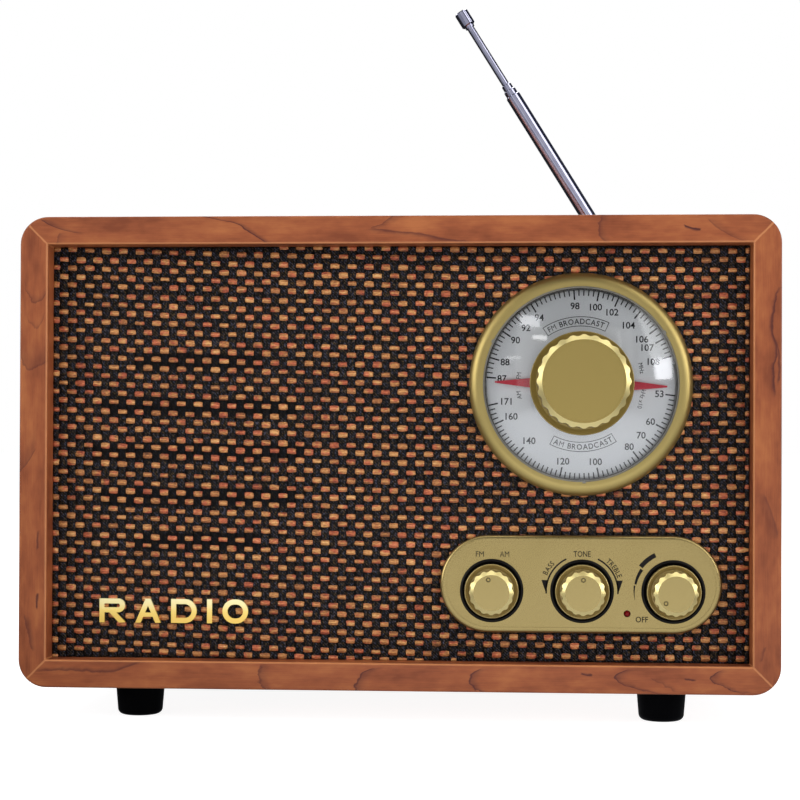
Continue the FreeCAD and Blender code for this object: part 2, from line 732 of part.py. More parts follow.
def control_carrier():
    """Black moulding behind the panel; its three round wells show as rings round the knobs."""
    ring_y = PANEL_Y - RING_PROUD
    solid = stadium(PANEL_W - 6.4, PANEL_H - 6.4, CLOTH_Y, BAFFLE_BACK, PANEL_X, PANEL_Z)
    solid = solid.fuse(stadium(PANEL_W + 4.0, PANEL_H + 4.6, BAFFLE_BACK, HOUSING_BACK, PANEL_X, PANEL_Z))
    for x in KNOB_XS.values():
        well = turned([(WELL_R, ring_y + 0.5), (WELL_R + 0.55, ring_y, "arc"), (RING_R, ring_y + 0.5),
                       (RING_R, CLOTH_Y), (WELL_R, CLOTH_Y)], x, KNOB_Z)
        solid = solid.fuse(well)
        solid = solid.cut(bar(WELL_R, CLOTH_Y, WELL_FLOOR_Y, x, KNOB_Z))
        solid = solid.cut(bar(BUSH_R, CLOTH_Y, HOUSING_BACK, x, KNOB_Z))
    solid = solid.cut(bar(LED_R + 0.5, CLOTH_Y, HOUSING_BACK, LED_X, LED_Z))
    for seat, direction in baffle_screw_seats()[3:]:
        solid = solid.cut(pilot(seat, direction, BAFFLE_SCREW_L))
    return solid


def control_knob(name):
    """Small fluted knob with a tiny ring engraved near the edge of its face."""
    x = KNOB_XS[name]
    solid = fluted_knob(x, KNOB_Z, KNOB_FLANGE_R, KNOB_TIP_R, KNOB_ROOT_R, KNOB_TOP_R, KNOB_FLUTES,
                        KNOB_BACK_Y, KNOB_FLANGE_T, KNOB_DISH, KNOB_FRONT_Y)
    solid = solid.fuse(bar(KNOB_STEM_R, KNOB_BACK_Y, WELL_FLOOR_Y - 0.8, x, KNOB_Z))
    a = math.radians(DOT_DEG[name])
    dot_x = x + DOT_OFFSET * math.sin(a)
    dot_z = KNOB_Z + DOT_OFFSET * math.cos(a)
    engraving = tube(DOT_R, DOT_R - DOT_LINE, KNOB_FRONT_Y, KNOB_FRONT_Y + DOT_DEPTH, dot_x, dot_z)
    return solid.cut(engraving).cut(bar(SHAFT_R, CONTROL_SHAFT_Y[0], WELL_FLOOR_Y, x, KNOB_Z))


def control_shaft(name):
    return bar(SHAFT_R, CONTROL_SHAFT_Y[0], CONTROL_SHAFT_Y[1], KNOB_XS[name], KNOB_Z)


def control_device(name):
    """Potentiometer or band switch with the bush that its shaft turns in."""
    x = KNOB_XS[name]
    if name == "band":
        body = block(x - POT_R, x + POT_R, HOUSING_BACK, POT_BACK, KNOB_Z - POT_R, KNOB_Z + POT_R)
    else:
        body = bar(POT_R, HOUSING_BACK, POT_BACK, x, KNOB_Z)
        half = TERMINALS_W / 2
        body = body.fuse(block(x - half, x + half, HOUSING_BACK, HOUSING_BACK + TERMINALS_T,
                               KNOB_Z - TERMINALS_DROP, KNOB_Z))
    body = body.fuse(bar(BUSH_R, WELL_FLOOR_Y, HOUSING_BACK, x, KNOB_Z))
    return body.cut(bar(SHAFT_R + RUNNING_GAP, WELL_FLOOR_Y, CONTROL_SHAFT_Y[1] + END_GAP, x, KNOB_Z))


def control_board():
    half = CONTROL_BOARD_W / 2
    return block(PANEL_X - half, PANEL_X + half, POT_BACK, POT_BACK + PCB_T, *CONTROL_BOARD_Z)


def power_led():
    """Small round lamp on two long leads from the control board."""
    tip_y = PANEL_Y - 0.4
    flange_y, back_y = LED_FLANGE_Y
    lamp = turned([(0, tip_y), (LED_R * 0.72, tip_y + 0.3, "arc"), (LED_R, tip_y + 1.1), (LED_R, flange_y),
                   (LED_R + 0.3, flange_y), (LED_R + 0.3, back_y), (0, back_y)], LED_X, LED_Z)
    for sx in (-1, 1):
        lamp = lamp.fuse(bar(LED_LEAD_R, back_y - 0.2, POT_BACK, LED_X + sx * LED_LEAD_OFFSET, LED_Z))
    return lamp


# ---------------------------------------------------------------- speaker
def speaker_frame():
    """Pressed basket: a square flange, a sunk ledge for the surround and a windowed cone."""
    x, z = SPEAKER_X, SPEAKER_Z
    flange_back = BAFFLE_BACK + FRAME_T
    flange = rounded_block(SPEAKER_FRAME_W, SPEAKER_FRAME_W, FRAME_CORNER_R, BAFFLE_BACK, flange_back, x, z)
    flange = flange.cut(bar(BASKET_R, BAFFLE_BACK, flange_back, x, z))
    outer_r = BASKET_R + BASKET_WALL
    ledge_back = LEDGE_Y + LEDGE_T
    end_y = BASKET_BACK_Y - FRAME_T
    basket = turned([(BASKET_R, BAFFLE_BACK), (outer_r, BAFFLE_BACK), (outer_r, ledge_back),
                     (LEDGE_IN_R + 2 * LEDGE_T, ledge_back), (BASKET_END_R, BASKET_BACK_Y),
                     (BASKET_HOLE_R, BASKET_BACK_Y), (BASKET_HOLE_R, end_y), (BASKET_END_R - LEDGE_T, end_y),
                     (LEDGE_IN_R, LEDGE_Y), (BASKET_R, LEDGE_Y)], x, z)
    solid = flange.fuse(basket)
    for turn in (0, 90, 180, 270):
        window = block(-WINDOW_HALF_W, WINDOW_HALF_W, *WINDOW_Y, *WINDOW_R)
        window.rotate(V(0, 0, 0), V(0, 1, 0), turn)
        window.translate(V(x, 0, z))
        solid = solid.cut(window)
    for seat, direction in baffle_screw_seats()[3:]:
        solid = solid.cut(pilot(seat, direction, BAFFLE_SCREW_L))
    return solid


def speaker_surround():
    """Half-roll that lets the cone move."""
    inner = ROLL_HALF_W - SURROUND_T
    face = LEDGE_Y - SURROUND_T
    rim_r = BASKET_R - 0.1
    return turned([(ROLL_R - ROLL_HALF_W, LEDGE_Y), (ROLL_R, LEDGE_Y - ROLL_HALF_W, "arc"),
                   (ROLL_R + ROLL_HALF_W, face), (rim_r, face), (rim_r, LEDGE_Y), (ROLL_R + inner, LEDGE_Y),
                   (ROLL_R, LEDGE_Y - inner, "arc"), (ROLL_R - inner, LEDGE_Y)], SPEAKER_X, SPEAKER_Z)


def speaker_cone():
    """Paper cone from the surround down to the voice coil."""
    return turned([(CONE_R, LEDGE_Y), (CONE_R, LEDGE_Y + CONE_T), (CONE_NECK_R, CONE_NECK_Y + CONE_T + 0.1),
                   (CONE_NECK_R, CONE_NECK_Y)], SPEAKER_X, SPEAKER_Z)


def dust_cap():
    """Thin spherical cap over the voice coil."""
    centre = V(SPEAKER_X, CAP_SPHERE_Y, SPEAKER_Z)
    shell = Part.makeSphere(CAP_SPHERE_R, centre).cut(Part.makeSphere(CAP_SPHERE_R - CAP_WALL, centre))
    return shell.common(bar(CAP_RIM_R, LEDGE_Y, CONE_NECK_Y + 0.6, SPEAKER_X, SPEAKER_Z))


def voice_coil():
    return tube(COIL_R + COIL_WALL, COIL_R, CONE_NECK_Y, COIL_END_Y, SPEAKER_X, SPEAKER_Z)


def speaker_spider():
    """Corrugated ring that centres the voice coil."""
    front = [(SPIDER_IN_R, SPIDER_Y)]
    back = [(SPIDER_IN_R, SPIDER_Y + SPIDER_T)]
    for i in range(1, SPIDER_FOLDS):
        radius = SPIDER_IN_R + i * (SPIDER_R - SPIDER_IN_R) / SPIDER_FOLDS
        wave = SPIDER_WAVE if i % 2 else -SPIDER_WAVE
        front.append((radius, SPIDER_Y + wave))
        back.append((radius, SPIDER_Y + SPIDER_T + wave))
    rim = [(SPIDER_R, SPIDER_Y), (SPIDER_R, SPIDER_Y + SPIDER_T)]
    return turned(front + rim + back[::-1], SPEAKER_X, SPEAKER_Z)


def speaker_top_plate():
    return tube(POLE_R, SPIDER_IN_R, BASKET_BACK_Y, TOP_PLATE_BACK, SPEAKER_X, SPEAKER_Z)


def speaker_magnet():
    return tube(MAGNET_R, MAGNET_HOLE_R, TOP_PLATE_BACK, MAGNET_BACK, SPEAKER_X, SPEAKER_Z)


def speaker_yoke():
    """Back plate with the pole that stands inside the voice coil."""
    pin_r = COIL_R - COIL_GAP
    return turned([(0, BASKET_BACK_Y), (pin_r, BASKET_BACK_Y), (pin_r, MAGNET_BACK), (POLE_R, MAGNET_BACK),
                   (POLE_R, MAGNET_BACK + POLE_T), (0, MAGNET_BACK + POLE_T)], SPEAKER_X, SPEAKER_Z)


# ---------------------------------------------------------------- rear panel and electronics
def board_posts():
    return [(x, z) for x in POST_XS for z in POST_ZS]


def rear_panel():
    """Moulded back with ventilation slots and posts that the main board stands on."""
    half_w = INNER_HALF_W - REAR_GAP
    solid = block(-half_w, half_w, REAR_Y, REAR_BACK, FLOOR_Z + REAR_GAP, CEILING_Z - REAR_GAP)
    lowest = SPEAKER_Z - (VENT_ROWS - 1) * VENT_PITCH / 2
    for row in range(VENT_ROWS):
        vent = stadium(VENT_W, VENT_H, REAR_Y, REAR_BACK, SPEAKER_X, lowest + row * VENT_PITCH)
        solid = solid.cut(vent)
    for x, z in board_posts():
        solid = solid.fuse(bar(POST_R, BOARD_Y + PCB_T, REAR_Y, x, z))
    for seat, direction in rear_screw_seats():
        solid = solid.cut(pilot(seat, direction, REAR_T))
    solid = solid.cut(rounded_block(INLET_W, INLET_H, INLET_CORNER_R, REAR_Y, REAR_BACK, INLET_X, INLET_Z))
    solid = solid.cut(bar(JACK_BUSH_R, REAR_Y, REAR_BACK, JACK_X, JACK_Z))
    return solid.cut(bar(BUSH_HOLE_R, REAR_Y, REAR_BACK, PIVOT_X, PIVOT_Z))


def mains_inlet():
    """Two-pin inlet: a figure-eight socket with its pins."""
    body = rounded_block(INLET_W, INLET_H, INLET_CORNER_R, INLET_START_Y, REAR_BACK, INLET_X, INLET_Z)
    flange = rounded_block(INLET_FLANGE_W, INLET_FLANGE_H, INLET_CORNER_R + 1.0, REAR_BACK, INLET_FACE_Y,
                           INLET_X, INLET_Z)
    solid = body.fuse(flange)
    pin_xs = (INLET_X - MAINS_PIN_X, INLET_X + MAINS_PIN_X)
    socket = [bar(SOCKET_LOBE_R, SOCKET_FLOOR_Y, INLET_FACE_Y, x, INLET_Z) for x in pin_xs]
    socket.append(block(*pin_xs, SOCKET_FLOOR_Y, INLET_FACE_Y, INLET_Z - SOCKET_WAIST,
                        INLET_Z + SOCKET_WAIST))
    for cutter in socket:
        solid = solid.cut(cutter)
    for x in pin_xs:
        solid = solid.fuse(bar(MAINS_PIN_R, SOCKET_FLOOR_Y - 1.0, INLET_FACE_Y - MAINS_PIN_SUNK, x, INLET_Z))
    return solid


def aux_jack():
    """3.5 mm input socket: a block on the main board and a round bush through the rear panel."""
    face_y = REAR_BACK + JACK_PROUD
    body = block(JACK_X - JACK_HALF, JACK_X + JACK_HALF, BOARD_Y + PCB_T, REAR_Y,
                 JACK_Z - JACK_HALF, JACK_Z + JACK_HALF)
    bush = bar(JACK_BUSH_R, REAR_Y, face_y, JACK_X, JACK_Z)
    return body.fuse(bush).cut(bar(JACK_BORE_R, JACK_BORE_END_Y, face_y, JACK_X, JACK_Z))


def main_board():
    return block(*BOARD_XS, BOARD_Y, BOARD_Y + PCB_T, *BOARD_ZS)


def transformer_core():
    """Laminated core with two windows, on a strap with two screwed tabs."""
    x = TRANSFORMER_X
    low, high = (FLOOR_Z + rise for rise in CORE_WINDOW_RISE)
    core = block(x - CORE_HALF_W, x + CORE_HALF_W, *CORE_YS, FLOOR_Z, FLOOR_Z + CORE_H)
    for side in (-1, 1):
        mid = x + side * CORE_WINDOW_X
        core = core.cut(block(mid - CORE_WINDOW_HALF_W, mid + CORE_WINDOW_HALF_W, *CORE_YS, low, high))
    core = core.fuse(block(x - STRAP_HALF_W, x + STRAP_HALF_W, *STRAP_YS, FLOOR_Z, FLOOR_Z + STRAP_T))
    for seat, direction in transformer_screw_seats():
        core = core.cut(pilot(seat, direction, CASE_SCREW_L))
    return core


def transformer_winding():
    """Coil round the middle limb of the core."""
    x = TRANSFORMER_X
    limb = CORE_WINDOW_X - CORE_WINDOW_HALF_W
    low, high = (FLOOR_Z + rise for rise in CORE_WINDOW_RISE)
    winding = block(x - WINDING_HALF_W, x + WINDING_HALF_W, *WINDING_YS, low, high)
    return winding.cut(block(x - limb, x + limb, *CORE_YS, low, high))


def ferrite_rod():
    return Part.makeCylinder(FERRITE_R, FERRITE_L, V(*FERRITE_START), V(1, 0, 0))


def ferrite_coil():
    """Coil former on the ferrite rod, with a foot on the main board."""
    start = V(FORMER_X, *FERRITE_START[1:])
    former = Part.makeCylinder(FORMER_R, FORMER_L, start, V(1, 0, 0))
    foot_block = block(*FORMER_FOOT_X, FORMER_FOOT_Y, BOARD_Y, *FORMER_FOOT_Z)
    return former.fuse(foot_block).cut(Part.makeCylinder(FERRITE_R, FORMER_L, start, V(1, 0, 0)))


# ---------------------------------------------------------------- antenna
def antenna_base():
    """Fixed bush through the rear panel with its nut inside."""
    bore_r = STUD_R + RUNNING_GAP
    return turned([(bore_r, BUSH_START_Y), (BUSH_NUT_R, BUSH_START_Y), (BUSH_NUT_R, REAR_Y),
                   (BUSH_HOLE_R, REAR_Y), (BUSH_HOLE_R, REAR_BACK), (BUSH_FLANGE_R, REAR_BACK),
                   (BUSH_FLANGE_R, BUSH_FACE_Y - 0.6), (BUSH_FLANGE_R - 0.6, BUSH_FACE_Y),
                   (bore_r, BUSH_FACE_Y)], PIVOT_X, PIVOT_Z)


def leaned(solid):
    """Turn a solid drawn for an upright antenna to the way it leans at rest."""
    solid.rotate(V(PIVOT_X, PIVOT_Y, PIVOT_Z), V(0, 1, 0), -LEAN_DEG)
    return solid


def mast_bar(radius, start, end):
    """Round bar along the upright antenna between two distances from its pivot."""
    return Part.makeCylinder(radius, end - start, V(PIVOT_X, PIVOT_Y, PIVOT_Z + start), V(0, 0, 1))


def cross_bar(radius, half_length):
    """Round bar along X through the pivot."""
    start = V(PIVOT_X - half_length, PIVOT_Y, PIVOT_Z)
    return Part.makeCylinder(radius, 2 * half_length, start, V(1, 0, 0))


def antenna_swivel():
    """Turning stud with two ears that hold the antenna's knuckle."""
    plate_front, plate_back = SWIVEL_PLATE_YS
    stud = turned([(0, STUD_START_Y), (STUD_R, STUD_START_Y), (STUD_R, plate_front),
                   (SWIVEL_PLATE_R, plate_front), (SWIVEL_PLATE_R, plate_back), (0, plate_back)],
                  PIVOT_X, PIVOT_Z)
    inner = KNUCKLE_T / 2 + EAR_GAP
    ears = cross_bar(EAR_R, EAR_FACE).fuse(block(PIVOT_X - EAR_FACE, PIVOT_X + EAR_FACE, plate_back - 0.2,
                                                 PIVOT_Y, PIVOT_Z - EAR_R, PIVOT_Z + EAR_R))
    clear = 2 * EAR_R
    ears = ears.cut(block(PIVOT_X - inner, PIVOT_X + inner, plate_back, PIVOT_Y + clear,
                          PIVOT_Z - clear, PIVOT_Z + clear))
    return leaned(stud.fuse(ears).cut(cross_bar(PIN_R, EAR_FACE)))


def antenna_pivot_pin():
    """Pin through the ears, with a round head at each end."""
    end = EAR_FACE + PIN_HEAD_T
    heads = cross_bar(PIN_HEAD_R, end).cut(cross_bar(PIN_HEAD_R + 0.1, EAR_FACE))
    return leaned(cross_bar(PIN_R, end).fuse(heads))


def antenna_outer_tube():
    """Outer tube with a flat knuckle on its lower end."""
    half = KNUCKLE_T / 2
    knuckle = cross_bar(KNUCKLE_R, half)
    neck = block(PIVOT_X - half, PIVOT_X + half, PIVOT_Y - 2.4, PIVOT_Y + 2.4, PIVOT_Z,
                 PIVOT_Z + KNUCKLE_NECK_H)
    mast = mast_bar(TUBE_R[0], MAST_START, OUTER_END)
    rim = [e for e in mast.Edges if e.BoundBox.ZMin > PIVOT_Z + OUTER_END - 1e-3]
    mast = mast.makeChamfer(0.3, rim)
    mast = mast.cut(mast_bar(BORE_R[0], OUTER_END - SECTION_L[0], OUTER_END))
    return leaned(knuckle.fuse(neck).fuse(mast).cut(cross_bar(PIN_R + RUNNING_GAP, half)))


def antenna_section(index):
    """One of the two middle tubes; index 1 slides in the outer tube, index 2 in index 1."""
    end = OUTER_END + index * STEP
    solid = mast_bar(TUBE_R[index], end - SECTION_L[index], end)
    rim = [e for e in solid.Edges if e.BoundBox.ZMin > PIVOT_Z + end - 1e-3]
    solid = solid.makeChamfer(0.25, rim)
    return leaned(solid.cut(mast_bar(BORE_R[index], end - SECTION_L[index], end)))


def antenna_rod():
    return leaned(mast_bar(TUBE_R[3], ROD_END - SECTION_L[3], ROD_END + ROD_IN_CAP))


def antenna_tip():
    """Cap pressed on the end of the rod."""
    face = ROD_END + NECK_L
    cap = mast_bar(CAP_R, face, face + CAP_L).fuse(mast_bar(NECK_R, ROD_END, face))
    solid = cap.cut(mast_bar(TUBE_R[3], ROD_END, ROD_END + ROD_IN_CAP))
    rims = [e for e in solid.Edges
            if abs(e.BoundBox.XLength - 2 * CAP_R) < 1e-3 and e.BoundBox.ZLength < 1e-3]
    return leaned(solid.makeChamfer(CAP_CHAMFER, rims))


# ---------------------------------------------------------------- everything
def all_nodes():
    nodes = cabinet_boards()
    nodes.update(feet())
    nodes["corner_blocks"] = corner_blocks()
    nodes["case_screws"] = case_screws()
    nodes["front_baffle"] = front_baffle()
    nodes["grille_cloth"] = front_sheet(CLOTH_Y, BAFFLE_Y)
    nodes["baffle_screws"] = baffle_screws()
    nodes["name_badge"] = name_badge()
    nodes["dial_bezel"] = dial_bezel()
    nodes["dial_lens"] = dial_lens()
    nodes["dial_plate"] = dial_plate()
    nodes["dial_housing"] = dial_housing()
    nodes["tuning_capacitor"] = tuning_capacitor()
    nodes["tuning_shaft"] = tuning_shaft()
    nodes["dial_pointer"] = dial_pointer()
    nodes["tuning_knob"] = tuning_knob()
    nodes["control_panel"] = control_panel()
    nodes["control_carrier"] = control_carrier()
    devices = {"band": "band_switch", "tone": "tone_potentiometer", "volume": "volume_potentiometer"}
    for name, device in devices.items():
        nodes[name + "_knob"] = control_knob(name)
        nodes[name + "_shaft"] = control_shaft(name)
        nodes[device] = control_device(name)
    nodes["control_board"] = control_board()
    nodes["power_led"] = power_led()
    nodes["speaker_frame"] = speaker_frame()
    nodes["speaker_surround"] = speaker_surround()
    nodes["speaker_cone"] = speaker_cone()
    nodes["dust_cap"] = dust_cap()
    nodes["voice_coil"] = voice_coil()
    nodes["speaker_spider"] = speaker_spider()
    nodes["speaker_top_plate"] = speaker_top_plate()
    nodes["speaker_magnet"] = speaker_magnet()
    nodes["speaker_yoke"] = speaker_yoke()
    nodes["rear_panel"] = rear_panel()
    nodes["mains_inlet"] = mains_inlet()
    nodes["aux_jack"] = aux_jack()
    nodes["main_board"] = main_board()
    nodes["transformer_core"] = transformer_core()
    nodes["transformer_winding"] = transformer_winding()
    nodes["ferrite_rod"] = ferrite_rod()
    nodes["ferrite_coil"] = ferrite_coil()
    nodes["antenna_base"] = antenna_base()
    nodes["antenna_swivel"] = antenna_swivel()
    nodes["antenna_pivot_pin"] = antenna_pivot_pin()
    nodes["antenna_outer_tube"] = antenna_outer_tube()
    nodes["antenna_section_2"] = antenna_section(1)
    nodes["antenna_section_3"] = antenna_section(2)
    nodes["antenna_rod"] = antenna_rod()
    nodes["antenna_tip"] = antenna_tip()
    return nodes


def save(name, shape):
    shape.translate(V(0, -ORIGIN_Y, 0))
    shape.exportStep("parts/" + name + ".step")
    print(name, "solids", len(shape.Solids), "valid", shape.isValid(), "volume", round(shape.Volume, 1))


os.makedirs("parts", exist_ok=True)
for node, solid in all_nodes().items():
    save(node, solid)
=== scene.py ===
"""Looks of the tabletop radio: woven grille, printed dial and panel, materials, light and camera.

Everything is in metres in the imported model's own frame. The front faces -Y and Z is up.
"""
import math

import bpy
import numpy as np
from mathutils import Matrix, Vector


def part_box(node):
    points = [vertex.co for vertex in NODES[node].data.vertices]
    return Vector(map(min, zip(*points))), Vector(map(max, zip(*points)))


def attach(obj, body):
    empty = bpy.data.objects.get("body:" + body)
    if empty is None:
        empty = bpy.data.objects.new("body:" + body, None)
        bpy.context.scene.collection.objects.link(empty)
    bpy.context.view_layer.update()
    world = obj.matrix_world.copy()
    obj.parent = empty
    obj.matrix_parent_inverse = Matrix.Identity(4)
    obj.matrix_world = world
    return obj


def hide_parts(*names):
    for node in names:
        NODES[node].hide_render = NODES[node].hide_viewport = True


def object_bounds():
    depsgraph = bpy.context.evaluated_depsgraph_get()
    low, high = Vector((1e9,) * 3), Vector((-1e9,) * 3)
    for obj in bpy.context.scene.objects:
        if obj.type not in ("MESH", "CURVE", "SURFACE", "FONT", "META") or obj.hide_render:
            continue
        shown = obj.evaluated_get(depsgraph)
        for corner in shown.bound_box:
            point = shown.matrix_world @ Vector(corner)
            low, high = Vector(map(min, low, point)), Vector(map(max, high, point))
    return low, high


MM = 0.001
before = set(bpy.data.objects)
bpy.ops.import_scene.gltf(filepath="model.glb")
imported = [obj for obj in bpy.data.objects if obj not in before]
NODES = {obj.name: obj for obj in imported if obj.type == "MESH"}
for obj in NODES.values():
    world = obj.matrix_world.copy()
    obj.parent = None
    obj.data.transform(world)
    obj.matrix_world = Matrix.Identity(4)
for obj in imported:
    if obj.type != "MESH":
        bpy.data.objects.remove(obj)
cad_low, cad_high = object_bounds()

# Weave of the grille cloth, in mm.
WARP_PITCH = 2.85
WEFT_PITCH = 2.97
WARP_HALF_W = 1.30
WARP_HALF_T = 0.30
WEFT_HALF_W = 0.99
WEFT_HALF_T = 0.22
WARP_SWING = 0.15
WEFT_SWING = 0.35
WEAVE_DEPTH = 0.15
SCRIM_DEPTH = 0.72
ROW_DROP = 0.036
ROW_DROP_LENGTH = 460.0
FIRST_ROW_DROP = 0.8
FIRST_COLUMN = 0.65
ROWS_ABOVE = 2
RING_POINTS = 8
ROUND_ENDS = 0.40
WEFT_STEP = 0.56
WARP_STEP = 0.70
EDGE_GAP = 0.05
ROW_JITTER = 0.10
WARP_DRIFT = 0.12
DRIFT_KNOTS = 12
WARP_SPREAD = 0.05
WARP_PINCH = 0.10
SCRIM_STEP = 2.0
DIAL_OVERLAP = 1.6
PANEL_OVERLAP = 1.8

# Colour tone and width of the ribbon's floats: middle and spread, then the limits.
FLOATS = 400
TONE = (0.56, 0.075)
TONE_LIMITS = (0.1, 0.9)
ROW_TONE_SPREAD = 0.03
WIDTH = (0.97, 0.13)
WIDTH_LIMITS = (0.55, 1.15)

# Sound slots of the board behind the cloth, in mm: (middle above the speaker, half length).
SLOT_ROWS = ((-30.0, 21.7), (-15.0, 33.8), (0.0, 37.0), (15.0, 33.8), (30.0, 21.7))
SLOT_HALF_H = 3.0

# Metal contacts at the back, in mm.
PIN_X = 4.3
PIN_R = 1.25
PIN_SUNK = 3.0
PIN_L = 10.5
PLATING_T = 0.1
JACK_BORE_R = 1.78
JACK_RIM_R = 2.6
JACK_RING_DEPTH = 3.0

# Painted marks at the dome's rim, in mm from the dial's middle: a pale band that is a painted highlight,
# and a dark ring that is painted shade.
LENS_RIM_HIGHLIGHT_R = 31.3
LENS_RIM_SHADE_R = (31.15, 31.75)

# Printing on the dial, in mm and degrees counter-clockwise from three o'clock.
PRINT_T = 0.03
PRINT_SUNK = 0.02
TICK_OUTER_R = 31.2
TICK_MINOR_R = 29.3
TICK_MAJOR_R = 28.0
FM_MARKS = {"87": 175.75, "88": 163.5, "90": 145.75, "92": 134.0, "94": 121.75, "98": 94.25,
            "100": 79.0, "102": 66.5, "104": 51.0, "106": 36.5, "107": 29.0, "108": 17.5}
AM_MARKS = {"53": 353.25, "60": 332.0, "70": 320.0, "80": 308.0, "100": 281.25,
            "120": 257.5, "140": 228.0, "160": 205.0, "171": 193.0}
TICK_STEP = 3.0
TICK_MAJOR_HALF_W = 0.24
TICK_MINOR_HALF_W = 0.19
NUMBER_R = 26.0
NUMBER_H = 2.1
LONG_NUMBER_IN = 0.9
BANNERS = (("FM BROADCAST", 19.2, 22.5, 65.5, 123.75, True),
           ("AM BROADCAST", 19.0, 22.3, 243.0, 302.0, False))
BANNER_LINE = 0.22
BANNER_H = 1.75
SIDE_WORDS = (("FM", 172.0, 82.0), ("AM", 190.0, 100.0), ("MHz", 15.0, -78.0), ("kHz x10", 346.5, -104.0))
SIDE_WORD_R = 20.6
SIDE_WORD_H = 1.45

# Printing on the panel, in mm and degrees.
LABEL_H = 1.8
TONE_WORD_H = 1.65
THIN_WEIGHT = 0.010
FULL_WEIGHT = 0.012
TONE_LINE_R = (11.5, 12.0)
TONE_ARCS = ((116.0, 184.0, -1), (64.0, -4.0, 1))
# The volume's wedge: start, end, middle radius, and thickness at its start and end.
WEDGE = ((116.0, 142.5, 13.4, (1.5, 1.5)), (144.8, 169.0, 12.6, (1.15, 0.7)),
         (171.0, 192.5, 12.8, (0.55, 0.08)))


# ---------------------------------------------------------------- places from the frame
def polar(centre, radius, degrees):
    """Point at an angle and a distance from a centre."""
    a = math.radians(degrees)
    return centre[0] + radius * math.cos(a), centre[1] + radius * math.sin(a)


def centre_of(node):
    low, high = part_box(node)
    return (low + high) / 2


def front_of(node):
    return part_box(node)[0][1]


DIAL = centre_of("dial_bezel")
PANEL = centre_of("control_panel")
SPEAKER = centre_of("speaker_frame")
KNOBS = [centre_of(name) for name in ("band_knob", "tone_knob", "volume_knob")]
PLATE_FRONT = front_of("dial_plate")
PANEL_FACE = front_of("control_panel") + 0.3 * MM


# ---------------------------------------------------------------- shader building
def put(node, **values):
    """Sets plain values on a node's inputs; an underscore stands for a space in a label."""
    for label, value in values.items():
        node.inputs[label.replace("_", " ")].default_value = value


def mix_shader(tree, factor, first, second):
    made = tree.nodes.new("ShaderNodeMixShader")
    for socket, value in zip(made.inputs, (factor, first, second)):
        tree.links.new(value, socket)
    return made.outputs[0]


class Shader:
    """A material's node tree, with short calls for the nodes that are used here."""

    def __init__(self, name, **values):
        self.material = bpy.data.materials.new(name)
        self.material.use_nodes = True
        self.tree = self.material.node_tree
        self.surface = self.tree.nodes["Principled BSDF"]
        put(self.surface, **values)

    def node(self, kind, **settings):
        made = self.tree.nodes.new(kind)
        for label, value in settings.items():
            setattr(made, label, value)
        return made

    def feed(self, socket, value):
        """Links a socket to an input, or sets a plain value on it."""
        if isinstance(value, bpy.types.NodeSocket):
            self.tree.links.new(value, socket)
        else:
            socket.default_value = value

    def math(self, operation, *values):
        made = self.node("ShaderNodeMath", operation=operation)
        for socket, value in zip(made.inputs, values):
            self.feed(socket, value)
        return made.outputs[0]

    def times(self, first, second):
        return self.math("MULTIPLY", first, second)

    def minus(self, first, second):
        return self.math("SUBTRACT", first, second)

    def scale_add(self, value, factor, shift):
        return self.math("MULTIPLY_ADD", value, factor, shift)

    def mix_shader(self, factor, first, second):
        return mix_shader(self.tree, factor, first, second)

    def length(self, first, second):
        """Length of a flat vector."""
        return self.math("SQRT", self.math("ADD", self.times(first, first), self.times(second, second)))

    def position(self):
        """Place in the frame, in mm, as three separate numbers."""
        where = self.node("ShaderNodeTexCoord").outputs["Object"]
        scaled = self.node("ShaderNodeVectorMath", operation="SCALE")
        self.feed(scaled.inputs[0], where)
        put(scaled, Scale=1 / MM)
        split = self.node("ShaderNodeSeparateXYZ")
        self.feed(split.inputs[0], scaled.outputs[0])
        return tuple(split.outputs)

    def vector(self, x, y, z):
        made = self.node("ShaderNodeCombineXYZ")
        for socket, value in zip(made.inputs, (x, y, z)):
            self.feed(socket, value)
        return made.outputs[0]

    def noise(self, place, factors, shift=(0.0, 0.0, 0.0), detail=2.0, roughness=0.5):
        """Noise over a place that is multiplied axis by axis, then moved."""
        made = self.node("ShaderNodeTexNoise")
        parts = [self.scale_add(v, f, s) for v, f, s in zip(place, factors, shift)]
        self.feed(made.inputs["Vector"], self.vector(*parts))
        put(made, Scale=1.0, Detail=detail, Roughness=roughness)
        return made.outputs[0]

    def ramp(self, factor, stops):
        made = self.node("ShaderNodeValToRGB")
        self.feed(made.inputs[0], factor)
        elements = made.color_ramp.elements
        while len(elements) < len(stops):
            elements.new(0.5)
        for element, (place, colour) in zip(elements, stops):
            element.position = place
            element.color = (*colour, 1.0)
        return made.outputs[0]

    def span(self, value, low, high, to_low=0.0, to_high=1.0):
        """Value mapped from one range to another and held inside it, with soft ends."""
        made = self.node("ShaderNodeMapRange", interpolation_type="SMOOTHSTEP")
        for socket, number in zip(made.inputs, (value, low, high, to_low, to_high)):
            self.feed(socket, number)
        return made.outputs[0]

    def mix(self, factor, first, second, blend="MIX"):
        made = self.node("ShaderNodeMix", data_type="RGBA", blend_type=blend)
        colours = [s for s in made.inputs if s.type == "RGBA"]
        self.feed(made.inputs[0], factor)
        for socket, value in zip(colours, (first, second)):
            self.feed(socket, (*value, 1.0) if isinstance(value, tuple) else value)
        return [s for s in made.outputs if s.type == "RGBA"][0]

    def attribute(self, name):
        return self.node("ShaderNodeAttribute", attribute_name=name).outputs["Fac"]

    def colour(self, value):
        self.feed(self.surface.inputs["Base Color"], value)

    def roughness(self, value):
        self.feed(self.surface.inputs["Roughness"], value)

    def bump(self, height, depth_mm, strength=1.0):
        made = self.node("ShaderNodeBump")
        put(made, Strength=strength, Distance=depth_mm * MM)
        self.feed(made.inputs["Height"], height)
        self.feed(self.surface.inputs["Normal"], made.outputs[0])


